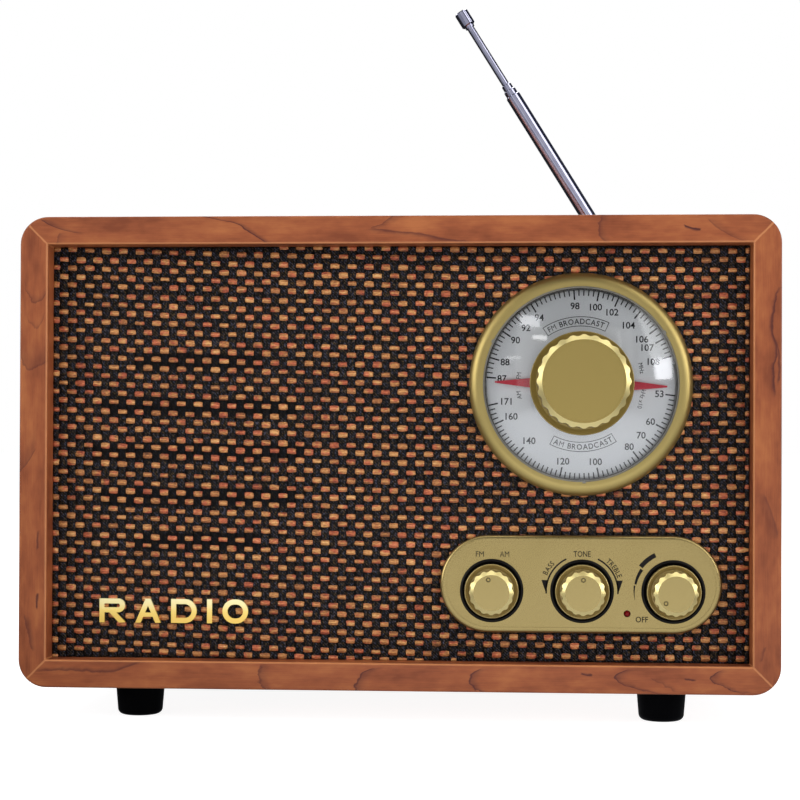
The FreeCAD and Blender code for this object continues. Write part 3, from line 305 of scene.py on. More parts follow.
def srgb(r, g, b):
    """Linear colour of a display colour given from 0 to 255."""
    return tuple(((c / 255 + 0.055) / 1.055) ** 2.4 if c > 10 else c / 255 / 12.92 for c in (r, g, b))


# ---------------------------------------------------------------- materials
def speckled(name, dark, light, rough=0.5, metal=0.0, size=0.6, depth=0.02, stretch=(1, 1, 1), **values):
    """A painted, moulded or plated finish: two close shades in fine noise, with a slight bump."""
    s = Shader(name, Metallic=metal, **values)
    place = s.position()
    grain = s.noise(place, [k / size for k in stretch], detail=3.0)
    patches = s.noise(place, (0.06,) * 3, detail=2.0)
    both = s.scale_add(grain, 0.55, s.times(patches, 0.45))
    s.colour(s.ramp(both, [(0.35, dark), (0.65, light)]))
    s.roughness(s.span(grain, 0.3, 0.7, rough - 0.05, rough + 0.07))
    s.bump(grain, depth)
    return s.material


LOW_X, HIGH_X = cad_low[0] / MM, cad_high[0] / MM
BOTTOM_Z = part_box("cabinet_bottom")[0][2] / MM
TOP_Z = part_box("cabinet_top")[1][2] / MM
FRONT_Y = front_of("cabinet_top") / MM


# Dark veins on the front edge of each board: points as (along the board, in from its outer edge) in mm,
# how far the smoky side fades, in mm, and how strong it is. A lengthwise vein runs with the board.
VEINS = {
    "cabinet_top": [
        ([(-118, 1), (-111.5, 4.2), (-105, 5.6)], 3, 0.75, False),
        ([(-112, 5.4), (-113.4, 9.4)], 2.4, 0.45, False),
        ([(-66, -0.4), (-60.4, 1), (-52.8, 2.6), (-48.9, 5.2), (-42, 9.4)], 2, 0.85, False),
        ([(0, -0.4), (-4, 2), (-8.6, 4.4)], 3.2, 0.6, False),
        ([(-9, 4.4), (0, 5.2), (9.7, 6.3), (15, 7.6), (24, 8.6)], 1.3, 0.6, True),
        ([(68, -0.4), (65.8, 3.5), (68, 9)], 2.2, 0.55, False),
        ([(93.2, 3.4), (96, 4.4), (99.2, 4.9)], 0.7, 0.9, True),
        ([(101, 1.5), (105.3, 5.2), (112.5, 8.8)], 3, 0.45, False),
    ],
    "cabinet_bottom": [
        ([(-118.5, 5.4), (-107, 5.8), (-95.5, 5.3), (-88.9, 7), (-84, 8.8)], 1, 0.6, True),
        ([(-44, 8.4), (-44.8, 4.2), (-42.3, -0.4)], 3, 0.6, False),
        ([(-3, 7.7), (-10.2, 6.3), (-12.8, 2.2), (-13.4, -0.4)], 3, 0.75, False),
        ([(28.4, 7.9), (24.2, 3.6), (31, -0.4)], 2.4, 0.8, False),
        ([(60, 6.1), (64.4, 5.9)], 0.5, 0.8, True),
        ([(75.5, 7.9), (71.6, 5.2), (76.8, 2.2), (87, -0.2)], 2.6, 0.8, False),
        ([(83, 5.4), (91, 1)], 1.8, 0.4, False),
        ([(94, 4.9), (97.6, 4.7)], 0.5, 0.8, True),
        ([(105.6, 8), (102.5, 5.2), (107, 2.2), (115.5, 0.4)], 2.4, 0.75, False),
    ],
    "cabinet_left_side": [
        ([(144.5, 1.6), (138.6, 5.1), (142.5, 9.2)], 2, 0.5, False),
        ([(134, 2.6), (130, 5.1), (135, 8.4)], 1.6, 0.35, False),
        ([(126, -0.4), (117, 2.4), (117.6, 7.2), (119, 9.4)], 7, 0.5, False),
        ([(82, -0.4), (85, 2.5), (90, 5.6)], 6, 0.5, False),
        ([(56.5, 6.1), (62.5, 6.3)], 0.5, 0.6, True),
        ([(37, 5.9), (42, 6.2)], 0.6, 0.8, True),
        ([(23, 4.6), (29, 3.4), (35, 1.8)], 1.3, 0.5, True),
    ],
    "cabinet_right_side": [
        ([(108, 2.2), (116, 2.6), (123, 1.7), (129.5, 3.1), (136, 2.6), (143, -0.2)],
         0.9, 0.75, True),
        ([(112, 1.2), (120, 0.8), (126, 2)], 0.5, 0.6, True),
        ([(62, 1), (68.4, 2.7), (76, 5.6)], 2.4, 0.4, True),
        ([(22, 6.4), (27, 5)], 0.8, 0.4, True),
    ],
}


def vein(s, along, across, points, fade, strength, lengthwise):
    """Darkness of one vein: a sharp edge along its line, fading away on one side of it."""
    run, offset = (along, across) if lengthwise else (across, along)
    pairs = sorted((p if lengthwise else p[::-1]) for p in points)
    starts = [p[0] for p in pairs]
    ends = [p[1] for p in pairs]
    low, high = min(ends) - 1.0, max(ends) + 1.0
    reach = starts[-1] - starts[0]
    share = s.scale_add(run, 1 / reach, -starts[0] / reach)
    curve = s.node("ShaderNodeFloatCurve")
    shape = curve.mapping.curves[0].points
    while len(shape) < len(pairs):
        shape.new(0.5, 0.5)
    for point, (start, end) in zip(shape, pairs):
        point.location = ((start - starts[0]) / reach, (end - low) / (high - low))
    curve.mapping.update()
    s.feed(curve.inputs["Value"], share)
    middle = s.scale_add(curve.outputs[0], high - low, low)
    off = s.minus(offset, middle)
    core = s.span(off, 0.0, 0.9, 1.0, 0.0)
    smoke = s.scale_add(core, 0.5, s.span(off, 0.2, 1.5 * fade, 0.6, 0.0))
    profile = s.times(s.span(off, -0.4, 0.1), smoke)
    tips = s.times(s.span(share, -0.06, 0.10), s.span(share, 0.90, 1.06, 1.0, 0.0))
    return s.times(s.times(profile, tips), strength)


def cherry_wood(name, seed):
    """Satin lacquered cherry board: front edge with its own veins, broad faces with a flowing figure."""
    s = Shader(name, Coat_Weight=0.12, Coat_Roughness=0.25, Specular_IOR_Level=0.22)
    x, y, z = s.position()
    upright = name in ("cabinet_left_side", "cabinet_right_side")
    along, level = (z, x) if upright else (x, z)
    across = {"cabinet_top": lambda: s.minus(TOP_Z, z),
              "cabinet_bottom": lambda: s.minus(z, BOTTOM_Z),
              "cabinet_left_side": lambda: s.minus(x, LOW_X),
              "cabinet_right_side": lambda: s.minus(HIGH_X, x)}[name]()
    on_front = s.span(y, FRONT_Y + 0.25, FRONT_Y + 0.8, 1.0, 0.0)

    ripple = s.noise((along, across, y), (0.35, 0.5, 0.5), (seed, 0, 0), detail=3.0)
    ripple = s.minus(ripple, 0.5)
    bent_along = s.scale_add(ripple, 3.2, along)
    bent_across = s.scale_add(ripple, 1.3, across)
    front_veins = 0.0
    for points, fade, strength, lengthwise in VEINS[name]:
        one = vein(s, bent_along, bent_across, points, fade, strength, lengthwise)
        front_veins = s.math("MAXIMUM", one, front_veins)

    wander = s.noise((along, level, y), (0.007, 0.04, 0.018), (seed, 0, seed), detail=1.0)
    waver = s.noise((along, level, y), (0.03, 0.16, 0.12), (0, seed, 2 * seed), detail=3.0)
    line = s.scale_add(wander, 52.0, s.times(y, 0.42))
    line = s.scale_add(waver, 3.0, line)
    band = s.math("FRACT", s.times(line, 1 / 7.5))
    face_veins = s.times(s.span(band, 0.0, 0.06), s.span(band, 0.10, 0.55, 1.0, 0.0))
    presence = s.noise((along, level, y), (0.012, 0.07, 0.04), (5 + seed, seed, 0), detail=1.0)
    face_veins = s.times(face_veins, s.span(presence, 0.40, 0.66, 0.12, 0.55))
    dark = s.mix(on_front, s.vector(face_veins, face_veins, face_veins),
                 s.vector(front_veins, front_veins, front_veins))

    fibre = s.noise((along, level, y), (0.10, 3.2, 3.2), (seed, 0, 0), detail=4.0, roughness=0.6)
    cloud = s.noise((along, level, y), (0.045, 0.14, 0.10), (0, seed, 7), detail=3.0)
    mottle = s.noise((along, level, y), (0.22, 0.5, 0.4), (seed, 3, 0), detail=2.0)
    tone = s.scale_add(fibre, 0.22, s.times(mottle, 0.22))
    tone = s.scale_add(cloud, 0.62, tone)
    base = s.ramp(tone, [(0.38, srgb(124, 62, 34)), (0.53, srgb(149, 80, 45)), (0.70, srgb(172, 101, 57))])
    colour = s.mix(dark, base, srgb(66, 26, 28))

    # A pale hairline painted down each mitre, and a painted highlight round the inside edge of the front.
    side = s.minus(HIGH_X, s.math("ABSOLUTE", x))
    end = s.math("MINIMUM", s.minus(TOP_Z, z), s.minus(z, BOTTOM_Z))
    off_mitre = s.math("ABSOLUTE", s.minus(side, end))
    off_mitre = s.scale_add(ripple, 0.5, off_mitre)
    inward = s.math("MINIMUM", side, end)
    # Painted highlight along the inner front edge.
    lip_highlight = s.times(s.span(inward, 8.45, 8.9), s.span(y, FRONT_Y + 0.1, FRONT_Y + 0.9, 1.0, 0.0))
    mitre = s.span(off_mitre, 0.2, 0.6, 1.0, 0.0)
    pale_mitre_and_lip_highlight = s.times(s.math("MAXIMUM", mitre, lip_highlight), 0.6)
    s.colour(s.mix(pale_mitre_and_lip_highlight, colour, srgb(206, 138, 88)))
    s.roughness(s.span(fibre, 0.3, 0.7, 0.38, 0.5))
    s.bump(fibre, 0.03, 0.6)
    return s.material


def gold(name, dark=(157, 138, 87), light=(165, 146, 95), rough=0.30):
    """Satin gold lacquer over metal or plastic, with a very fine grain."""
    return speckled(name, srgb(*dark), srgb(*light), rough=rough, metal=0.9, size=0.16, depth=0.003)


def knob_gold(name, knob, shade, bevel_depth, sunk_depth, painted_side_shading):
    """Gold knob: a satin face; the slanted rim round it painted pale, a painted highlight; side and flange
    less metallic and given painted shading; painted shade in the hollows.
    """
    s = Shader(name)
    x, y, z = s.position()
    grain = s.noise((x, y, z), (6.0, 6.0, 6.0), detail=2.0)
    normal = s.node("ShaderNodeSeparateXYZ")
    s.feed(normal.inputs[0], s.node("ShaderNodeTexCoord").outputs["Normal"])
    facing = s.times(normal.outputs[1], -1.0)
    front = front_of(knob) / MM
    forward = s.span(y, front + bevel_depth, front + bevel_depth + 0.3, 1.0, 0.0)
    slanted = s.times(s.span(facing, 0.3, 0.5), s.span(facing, 0.90, 0.97, 1.0, 0.0))
    # Painted highlight: the slanted rim near the front is painted a pale gold further down.
    bevel_highlight = s.times(forward, slanted)
    # Painted shading: side and flange colour is scaled by the last argument, darker on the tuning knob and
    # lighter on the small knobs.
    behind = s.minus(1.0, s.times(forward, s.span(facing, 0.3, 0.5)))
    level = s.minus(forward, bevel_highlight)
    # Painted shade: front-facing surfaces set deeper than the face, such as the dimple, are painted near
    # black-brown.
    hollow_shade = s.times(level, s.span(y, front + sunk_depth, front + sunk_depth + 0.15, 0.0, 0.7))
    dark = tuple(c * part for c, part in zip(srgb(168, 148, 93), shade))
    light = tuple(c * part for c, part in zip(srgb(176, 156, 101), shade))
    face = s.ramp(grain, [(0.35, dark), (0.65, light)])
    body = s.mix(behind, face, tuple(c * painted_side_shading for c in dark))
    body = s.mix(hollow_shade, body, srgb(40, 32, 12))
    # Painted highlight: the slanted rim is painted pale (224, 207, 142).
    s.colour(s.mix(bevel_highlight, body, srgb(224, 207, 142)))
    s.feed(s.surface.inputs["Metallic"], s.scale_add(behind, -0.5, 0.9))
    s.roughness(s.scale_add(bevel_highlight, 0.06, 0.27))
    s.bump(grain, 0.003)
    return s.material


def weft_straw():
    """Brown ribbon of a few strands: its tone changes from float to float, with fibres along it and painted
    shade towards its edges.
    """
    s = Shader("weft_straw", Specular_IOR_Level=0.3)
    place = s.position()
    across = s.attribute("across")
    fibre = s.noise(place, (0.5, 3.0, 2.6), detail=3.0, roughness=0.7)
    strands = s.math("COSINE", s.times(across, 2.2 * math.pi))
    # Painted shade: the ribbon is darker towards its edges, where it curves away.
    edge = s.span(s.math("ABSOLUTE", across), 0.5, 0.95, 0.0, 0.34)
    mixed = s.scale_add(s.minus(fibre, 0.5), 1.5, s.attribute("tone"))
    mixed = s.scale_add(strands, 0.10, mixed)
    mixed = s.minus(mixed, edge)
    tan = s.ramp(mixed, [(0.0, srgb(66, 38, 20)), (0.35, srgb(150, 92, 50)), (0.65, srgb(196, 136, 78)),
                         (1.0, srgb(232, 184, 118))])
    red = s.ramp(mixed, [(0.0, srgb(58, 24, 16)), (0.35, srgb(146, 68, 42)), (0.65, srgb(194, 104, 66)),
                         (1.0, srgb(224, 150, 104))])
    dye = s.noise(place, (0.28, 0.6, 0.6), (11.0, 0.0, 3.0), detail=2.0)
    s.colour(s.mix(s.span(dye, 0.46, 0.62), tan, red))
    s.roughness(s.span(fibre, 0.3, 0.7, 0.42, 0.62))
    s.bump(s.scale_add(strands, 0.3, fibre), 0.12)
    return s.material


def warp_yarn():
    """Loose dark yarn with brown and bluish hairs. Its colour is painted near black where a sound slot lies
    behind it: painted shade of the hollow.
    """
    s = Shader("warp_yarn", Specular_IOR_Level=0.10)
    x, y, z = s.position()
    slant = s.math("ADD", z, s.times(x, 0.9))
    ply = s.math("SINE", s.times(slant, 2 * math.pi / 0.95))
    ply = s.scale_add(ply, 0.5, 0.5)
    fibre = s.noise((x, y, z), (1.5, 1.5, 1.2), detail=3.0, roughness=0.8)
    hue = s.noise((x, y, z), (1.1, 1.1, 0.9), (40.0, 0.0, 7.0), detail=2.0)
    mixed = s.scale_add(ply, 0.08, s.times(fibre, 0.98))
    blue = s.ramp(mixed, [(0.42, srgb(3, 3, 3)), (0.54, srgb(20, 20, 24)), (0.67, srgb(74, 74, 88))])
    brown = s.ramp(mixed, [(0.42, srgb(3, 2, 2)), (0.54, srgb(23, 18, 12)), (0.67, srgb(84, 66, 42))])
    colour = s.mix(s.span(hue, 0.42, 0.58), blue, brown)
    # Painted shade: the yarn is darkened towards near black over the sound slots.
    shade = s.times(s.attribute("tone"), 0.75)
    s.colour(s.mix(shade, colour, (0.0006, 0.0006, 0.0008)))
    s.roughness(s.span(fibre, 0.35, 0.65, 0.4, 0.65))
    s.bump(s.scale_add(fibre, 0.6, ply), 0.16)
    return s.material


def scrim_gauze():
    """Thin dark gauze behind the yarns."""
    s = Shader("scrim_gauze", Roughness=0.9)
    x, _, z = s.position()
    rows = s.math("SINE", s.times(z, 2 * math.pi / 0.5))
    columns = s.math("SINE", s.times(x, 2 * math.pi / 0.5))
    thread = s.math("MAXIMUM", rows, columns)
    s.colour(s.ramp(s.span(thread, -0.2, 0.8), [(0.0, srgb(8, 6, 5)), (1.0, srgb(26, 22, 17))]))
    s.bump(thread, 0.08)
    return s.material


def clear_lens():
    """Clear plastic dome that shows the dial and mirrors the lamps; near its rim it has a dark ring,
    painted shade, and outside it a pale band, a painted highlight.
    """
    s = Shader("clear_lens", Roughness=0.4)
    x, y, z = s.position()
    off_x = s.minus(x, DIAL[0] / MM)
    off_z = s.minus(z, DIAL[2] / MM)
    radius = s.length(off_x, off_z)
    # Painted highlight: a pale band out to the rim. Painted shade: a dark ring just inside it.
    rim_highlight = s.times(s.span(radius, LENS_RIM_HIGHLIGHT_R, LENS_RIM_HIGHLIGHT_R + 0.4), 0.45)
    line_starts = s.span(radius, LENS_RIM_SHADE_R[0], LENS_RIM_SHADE_R[0] + 0.2)
    line_ends = s.span(radius, LENS_RIM_SHADE_R[1] - 0.2, LENS_RIM_SHADE_R[1], 1.0, 0.0)
    line = s.times(line_starts, line_ends)
    s.colour(s.mix(line, (0.62, 0.61, 0.56), (0.02, 0.02, 0.02)))
    glossy = s.node("ShaderNodeBsdfGlossy")
    put(glossy, Roughness=0.06)
    through = s.node("ShaderNodeBsdfTransparent")
    put(through, Color=(0.985, 0.99, 0.985, 1.0))
    fresnel = s.node("ShaderNodeFresnel")
    put(fresnel, IOR=1.58)
    ripple = s.noise((x, y, z), (0.05, 0.05, 0.05), detail=2.0)
    bump = s.node("ShaderNodeBump")
    put(bump, Distance=0.12 * MM)
    s.feed(bump.inputs["Height"], ripple)
    s.feed(glossy.inputs["Normal"], bump.outputs[0])
    cover = s.math("MAXIMUM", rim_highlight, s.times(line, 0.85))
    body = s.mix_shader(cover, through.outputs[0], s.surface.outputs[0])
    both = s.mix_shader(fresnel.outputs[0], body, glossy.outputs[0])
    s.feed(s.tree.nodes["Material Output"].inputs["Surface"], both)
    return s.material


def chrome():
    """Polished plating with faint smears that run round the tube."""
    s = Shader("chrome_plate", Metallic=1.0)
    place = s.position()
    smear = s.noise(place, (0.35, 0.35, 0.35), detail=4.0)
    s.colour(s.ramp(smear, [(0.3, srgb(172, 172, 196)), (0.7, srgb(192, 192, 212))]))
    s.roughness(s.span(smear, 0.35, 0.7, 0.05, 0.13))
    return s.material


def badge_gold():
    """Bright gold letters, painted paler towards their tops as painted light from above."""
    s = Shader("badge_gold", Metallic=0.35, Coat_Weight=0.4, Coat_Roughness=0.08)
    x, y, z = s.position()
    low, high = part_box("name_badge")
    grain = s.noise((x, y, z), (2.0, 2.0, 2.0), detail=3.0)
    # Painted light: the letters are painted paler with height.
    height = s.scale_add(grain, 1.6, s.math("ADD", z, -low[2] / MM - 0.8))
    share = s.span(height, 0.0, (high[2] - low[2]) / MM)
    gilt_painted_top_light = [(0.0, srgb(238, 196, 84)), (0.5, srgb(250, 216, 112)), (1.0, srgb(255, 240, 176))]
    s.colour(s.ramp(share, gilt_painted_top_light))
    s.roughness(s.span(grain, 0.3, 0.7, 0.14, 0.24))
    return s.material


def lamp_red():
    """Unlit red lens of the power lamp, painted darker towards its rim as painted shade."""
    s = Shader("lamp_red", Roughness=0.2, Specular_IOR_Level=0.2)
    facing = s.node("ShaderNodeLayerWeight")
    put(facing, Blend=0.45)
    # Painted shade: where the lens is seen at a slant, near its rim, it is painted dark red.
    s.colour(s.ramp(facing.outputs["Facing"], [(0.0, srgb(132, 6, 10)), (0.7, srgb(48, 2, 5))]))
    return s.material


# Plain finishes: material name, darker and lighter display colour, then what speckled() is told.
PLAIN_FINISHES = {
    "baffle": ("stained_board", (30, 24, 19), (46, 37, 29), dict(rough=0.8, size=0.8, depth=0.06)),
    "block": ("bare_softwood", (170, 130, 88), (202, 162, 114),
              dict(rough=0.7, size=0.5, depth=0.05, stretch=(1, 0.08, 1))),
    "red": ("pointer_red", (226, 38, 62), (240, 54, 76), dict(rough=0.35, size=0.5, depth=0.004)),
    "ring": ("ring_black", (8, 7, 7), (15, 13, 12),
             dict(rough=0.35, size=0.5, depth=0.004, Specular_IOR_Level=0.14)),
    "print": ("print_black", (16, 14, 14), (28, 24, 22),
              dict(rough=0.6, size=0.3, depth=0.003, Specular_IOR_Level=0.15)),
    "silver": ("dial_silver", (235, 235, 236), (243, 243, 244),
               dict(rough=0.5, metal=0.6, size=0.35, depth=0.003)),
    "plastic": ("black_plastic", (18, 18, 19), (30, 30, 31), dict(rough=0.52, size=0.45, depth=0.10)),
    "rubber": ("foot_rubber", (1, 1, 2), (4, 4, 6),
               dict(rough=0.45, size=0.4, depth=0.02, Specular_IOR_Level=0.03)),
    "screw": ("screw_black", (26, 26, 28), (44, 44, 47), dict(rough=0.3, metal=0.8, size=0.4, depth=0.008)),
    "steel": ("shaft_steel", (168, 168, 172), (194, 194, 198),
              dict(rough=0.3, metal=1.0, size=0.25, depth=0.006, stretch=(0.1, 1, 0.1))),
    "pressed": ("pressed_steel", (86, 86, 90), (112, 112, 116),
                dict(rough=0.42, metal=0.9, size=0.9, depth=0.01)),
    "magnet": ("magnet_ferrite", (58, 58, 61), (82, 82, 86), dict(rough=0.8, size=0.5, depth=0.05)),
    "paper": ("cone_paper", (40, 39, 41), (62, 61, 63), dict(rough=0.9, size=0.4, depth=0.10)),
    "surround": ("surround_rubber", (28, 28, 28), (42, 42, 42), dict(rough=0.6, size=0.5, depth=0.02)),
    "spider": ("spider_cloth", (196, 158, 92), (220, 186, 120), dict(rough=0.85, size=0.35, depth=0.10)),
    "copper": ("copper_wire", (168, 92, 52), (212, 130, 80),
               dict(rough=0.3, metal=0.9, size=0.3, depth=0.04, stretch=(0.1, 1, 0.1))),
    "board": ("circuit_board", (34, 104, 54), (52, 130, 70), dict(rough=0.35, size=1.6, depth=0.02)),
    "component": ("component_grey", (176, 178, 182), (204, 206, 210),
                  dict(rough=0.45, size=0.6, depth=0.02)),
    "core": ("laminations", (96, 96, 100), (140, 140, 145),
             dict(rough=0.4, metal=0.7, size=0.5, depth=0.06, stretch=(0.05, 1, 0.05))),
}


def shared_materials():
    """Every finish by name, apart from the boards' wood."""
    made = {key: speckled(name, srgb(*dark), srgb(*light), **rest)
            for key, (name, dark, light, rest) in PLAIN_FINISHES.items()}
    made["gold"] = gold("gold_satin")
    made["gold_bezel"] = gold("gold_bezel", (163, 144, 87), (171, 152, 95), rough=0.40)
    # Last number of each knob: painted shading of side and flange, below 1 darker, above 1 lighter.
    made["gold_tuner"] = knob_gold("gold_tuner", "tuning_knob", (1.00, 0.98, 0.80), 1.5, 0.4, 0.78)
    made["gold_knob"] = knob_gold("gold_knob", "band_knob", (0.86, 0.87, 0.89), 1.25, 0.1, 1.3)
    made["badge"] = badge_gold()
    made["chrome"] = chrome()
    made["lens"] = clear_lens()
    made["lamp"] = lamp_red()
    made["weft"] = weft_straw()
    made["warp"] = warp_yarn()
    made["scrim"] = scrim_gauze()
    return made


BOARD_SEEDS = {"cabinet_top": 3.1, "cabinet_bottom": 8.4, "cabinet_left_side": 12.7,
               "cabinet_right_side": 17.2}

# CAD pieces under the finish that they wear.
FINISHES = {
    "block": ("corner_blocks",),
    "rubber": ("foot_front_left", "foot_front_right", "foot_rear_left", "foot_rear_right"),
    "screw": ("case_screws", "baffle_screws"),
    "baffle": ("front_baffle",),
    "badge": ("name_badge",),
    "gold_bezel": ("dial_bezel",),
    "lens": ("dial_lens",),
    "silver": ("dial_plate",),
    "plastic": ("dial_housing", "rear_panel", "mains_inlet", "aux_jack", "antenna_base"),
    "component": ("tuning_capacitor",),
    "steel": ("tuning_shaft", "band_shaft", "tone_shaft", "volume_shaft"),
    "red": ("dial_pointer",),
    "gold_tuner": ("tuning_knob",),
    "gold": ("control_panel",),
    "ring": ("control_carrier",),
    "gold_knob": ("band_knob", "tone_knob", "volume_knob"),
    "pressed": ("band_switch", "tone_potentiometer", "volume_potentiometer", "speaker_frame",
        "speaker_top_plate", "speaker_yoke"),
    "board": ("control_board", "main_board"),
    "lamp": ("power_led",),
    "surround": ("speaker_surround",),
    "paper": ("speaker_cone", "dust_cap"),
    "copper": ("voice_coil", "transformer_winding", "ferrite_coil"),
    "spider": ("speaker_spider",),
    "magnet": ("speaker_magnet", "ferrite_rod"),
    "core": ("transformer_core",),
    "chrome": ("antenna_swivel", "antenna_pivot_pin", "antenna_outer_tube", "antenna_section_2",
        "antenna_section_3", "antenna_rod", "antenna_tip"),
}


def dress(obj, material):
    """Puts one material in every slot of an object."""
    slots = obj.data.materials
    if not slots:
        slots.append(material)
    for i in range(len(slots)):
        slots[i] = material


def finish_cad_nodes(materials):
    for finish, names in FINISHES.items():
        for name in names:
            dress(NODES[name], materials[finish])
    for name, seed in BOARD_SEEDS.items():
        dress(NODES[name], cherry_wood(name, seed))


# ---------------------------------------------------------------- mesh building
def add_piece(name, verts, faces, material, smooth=False):
    """A new piece made from points in mm, riding on the cabinet."""
    mesh = bpy.data.meshes.new(name)
    mesh.from_pydata([tuple(v) for v in np.asarray(verts) * MM], [], faces)
    mesh.validate()
    mesh.materials.append(material)
    for polygon in mesh.polygons:
        polygon.use_smooth = smooth
    obj = bpy.data.objects.new(name, mesh)
    bpy.context.collection.objects.link(obj)
    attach(obj, "cabinet")
    return obj


def tube_faces(rings, points, first):
    """Faces of a closed tube of rings of points whose first vertex is number first."""
    faces = []
    for i in range(rings - 1):
        a = first + i * points
        b = a + points
        for j in range(points):
            k = (j + 1) % points
            faces.append((a + j, a + k, b + k, b + j))
    faces.append(tuple(first + j for j in reversed(range(points))))
    last = first + (rings - 1) * points
    faces.append(tuple(last + j for j in range(points)))
    return faces


# ---------------------------------------------------------------- grille cloth
CLOTH_LOW, CLOTH_HIGH = (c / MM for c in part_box("grille_cloth"))
PANEL_LOW, PANEL_HIGH = (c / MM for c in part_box("control_panel"))
DIAL_CUT_R = (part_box("dial_bezel")[1][0] - DIAL[0]) / MM - DIAL_OVERLAP
rng = np.random.default_rng(20)


def row_shift(x):
    """How far a row has dropped below its left end, because the cloth hangs a little askew."""
    s = np.asarray(x) - CLOTH_LOW[0]
    return -ROW_DROP * s + ROW_DROP * s * s / ROW_DROP_LENGTH


def uncovered(x, z):
    """True where the cloth isn't hidden under the dial or the control panel."""
    clear_dial = np.hypot(x - DIAL[0] / MM, z - DIAL[2] / MM) > DIAL_CUT_R
    radius = (PANEL_HIGH[2] - PANEL_LOW[2]) / 2
    straight = (PANEL_HIGH[0] - PANEL_LOW[0]) / 2 - radius
    dx = np.maximum(np.abs(x - PANEL[0] / MM) - straight, 0.0)
    clear_panel = np.hypot(dx, z - PANEL[2] / MM) > radius - PANEL_OVERLAP
    inside = (z > CLOTH_LOW[2]) & (z < CLOTH_HIGH[2]) & (x > CLOTH_LOW[0]) & (x < CLOTH_HIGH[0])
    return clear_dial & clear_panel & inside


def slot_shade(x, z):
    """1 where an open sound slot lies behind the cloth, fading to 0 just outside it: the painted shade that
    the warp gets there.
    """
    most = np.zeros(np.broadcast(x, z).shape)
    for rise, half in SLOT_ROWS:
        dx = np.maximum(np.abs(x - SPEAKER[0] / MM) - (half - SLOT_HALF_H), 0.0)
        off = np.hypot(dx, z - SPEAKER[2] / MM - rise) - SLOT_HALF_H
        most = np.maximum(most, np.clip(0.5 - off / 0.8, 0.0, 1.0))
    return most


def runs(mask, shortest=3):
    """Start and end of every run of true values."""
    edges = np.flatnonzero(np.diff(np.concatenate([[0], mask.astype(int), [0]])))
    return [(a, b) for a, b in zip(edges[::2], edges[1::2]) if b - a >= shortest]


RIGHT = np.array([1, 0, 0])
FORWARD = np.array([0, -1, 0])
UP = np.array([0, 0, 1])
RING_ANGLES = np.linspace(0, 2 * math.pi, RING_POINTS, endpoint=False) + math.pi / RING_POINTS
RING_WIDE = np.sign(np.cos(RING_ANGLES)) * np.abs(np.cos(RING_ANGLES)) ** 0.85
RING_DEEP = np.sign(np.sin(RING_ANGLES)) * np.abs(np.sin(RING_ANGLES)) ** 0.9


def sweep(line, half_w, half_t, across, out):
    """Rings of points round a line: half_w along the direction across, half_t along out."""
    rings = line[:, None, :] + half_w[:, None, None] * RING_WIDE[None, :, None] * across
    return rings + half_t * RING_DEEP[None, :, None] * out


def weft_rows():
    """Ribbons across the cloth, each going over one warp yarn and under the next."""
    strips = []
    low, high = CLOTH_LOW, CLOTH_HIGH
    rows = int((high[2] - low[2]) / WEFT_PITCH) + 2
    x = np.arange(low[0] + EDGE_GAP, high[0] - EDGE_GAP, WEFT_STEP)
    first_float = FLOATS // 2
    knots = np.arange(FLOATS)
    for row in range(-ROWS_ABOVE, rows):
        jitter = rng.normal(0, ROW_JITTER)
        height = high[2] - FIRST_ROW_DROP - row * WEFT_PITCH + jitter
        phase = (x - low[0] - FIRST_COLUMN) / WARP_PITCH + row
        swing = np.cos(math.pi * phase)
        floats = np.round(phase / 2).astype(int) + first_float
        tone_of = np.clip(rng.normal(*TONE, FLOATS) + rng.normal(0, ROW_TONE_SPREAD), *TONE_LIMITS)
        width_of = np.clip(rng.normal(*WIDTH, FLOATS), *WIDTH_LIMITS)
        at = phase / 2 + first_float
        width = np.interp(at, knots, width_of)
        z = height + row_shift(x) + np.interp(at, knots, rng.normal(0, ROW_JITTER, FLOATS))
        y = low[1] + WEAVE_DEPTH - WEFT_SWING * swing
        line = np.stack([x, y, z], axis=1)
        half_w = WEFT_HALF_W * width * (1 - ROUND_ENDS * np.clip((0.45 - swing) / 1.1, 0, 1))
        for a, b in runs(uncovered(x, z)):
            rings = sweep(line[a:b], half_w[a:b], WEFT_HALF_T, UP, FORWARD)
            rings[..., 2] = np.clip(rings[..., 2], low[2], high[2])
            strips.append((rings, tone_of[floats[a:b]]))
    return strips


def warp_columns():
    """Dark yarns up the cloth, in front of each ribbon that dips behind them."""
    strips = []
    low, high = CLOTH_LOW, CLOTH_HIGH
    z = np.arange(low[2] + EDGE_GAP, high[2] - EDGE_GAP, WARP_STEP)
    columns = int((high[0] - low[0]) / WARP_PITCH) + 1
    for column in range(columns):
        x0 = low[0] + FIRST_COLUMN + column * WARP_PITCH
        row_at = (high[2] - FIRST_ROW_DROP + row_shift(x0) - z) / WEFT_PITCH
        swing = np.cos(math.pi * (row_at + column))
        levels = np.linspace(low[2], high[2], DRIFT_KNOTS)
        drift = np.interp(z, levels, rng.normal(0, WARP_DRIFT, DRIFT_KNOTS))
        x = x0 + drift
        y = low[1] + WEAVE_DEPTH + WARP_SWING * swing
        line = np.stack([x, y, z], axis=1)
        uneven = 1 + WARP_SPREAD * rng.normal(0, 1, len(z))
        half_w = WARP_HALF_W * uneven * (1 - WARP_PINCH * swing)
        for a, b in runs(uncovered(x, z)):
            rings = sweep(line[a:b], half_w[a:b], WARP_HALF_T, RIGHT, FORWARD)
            rings[..., 0] = np.clip(rings[..., 0], low[0], high[0])
            # The warp's tone is the painted shade over the sound slots.
            strips.append((rings[:, ::-1], slot_shade(x[a:b], z[a:b])))
    return strips


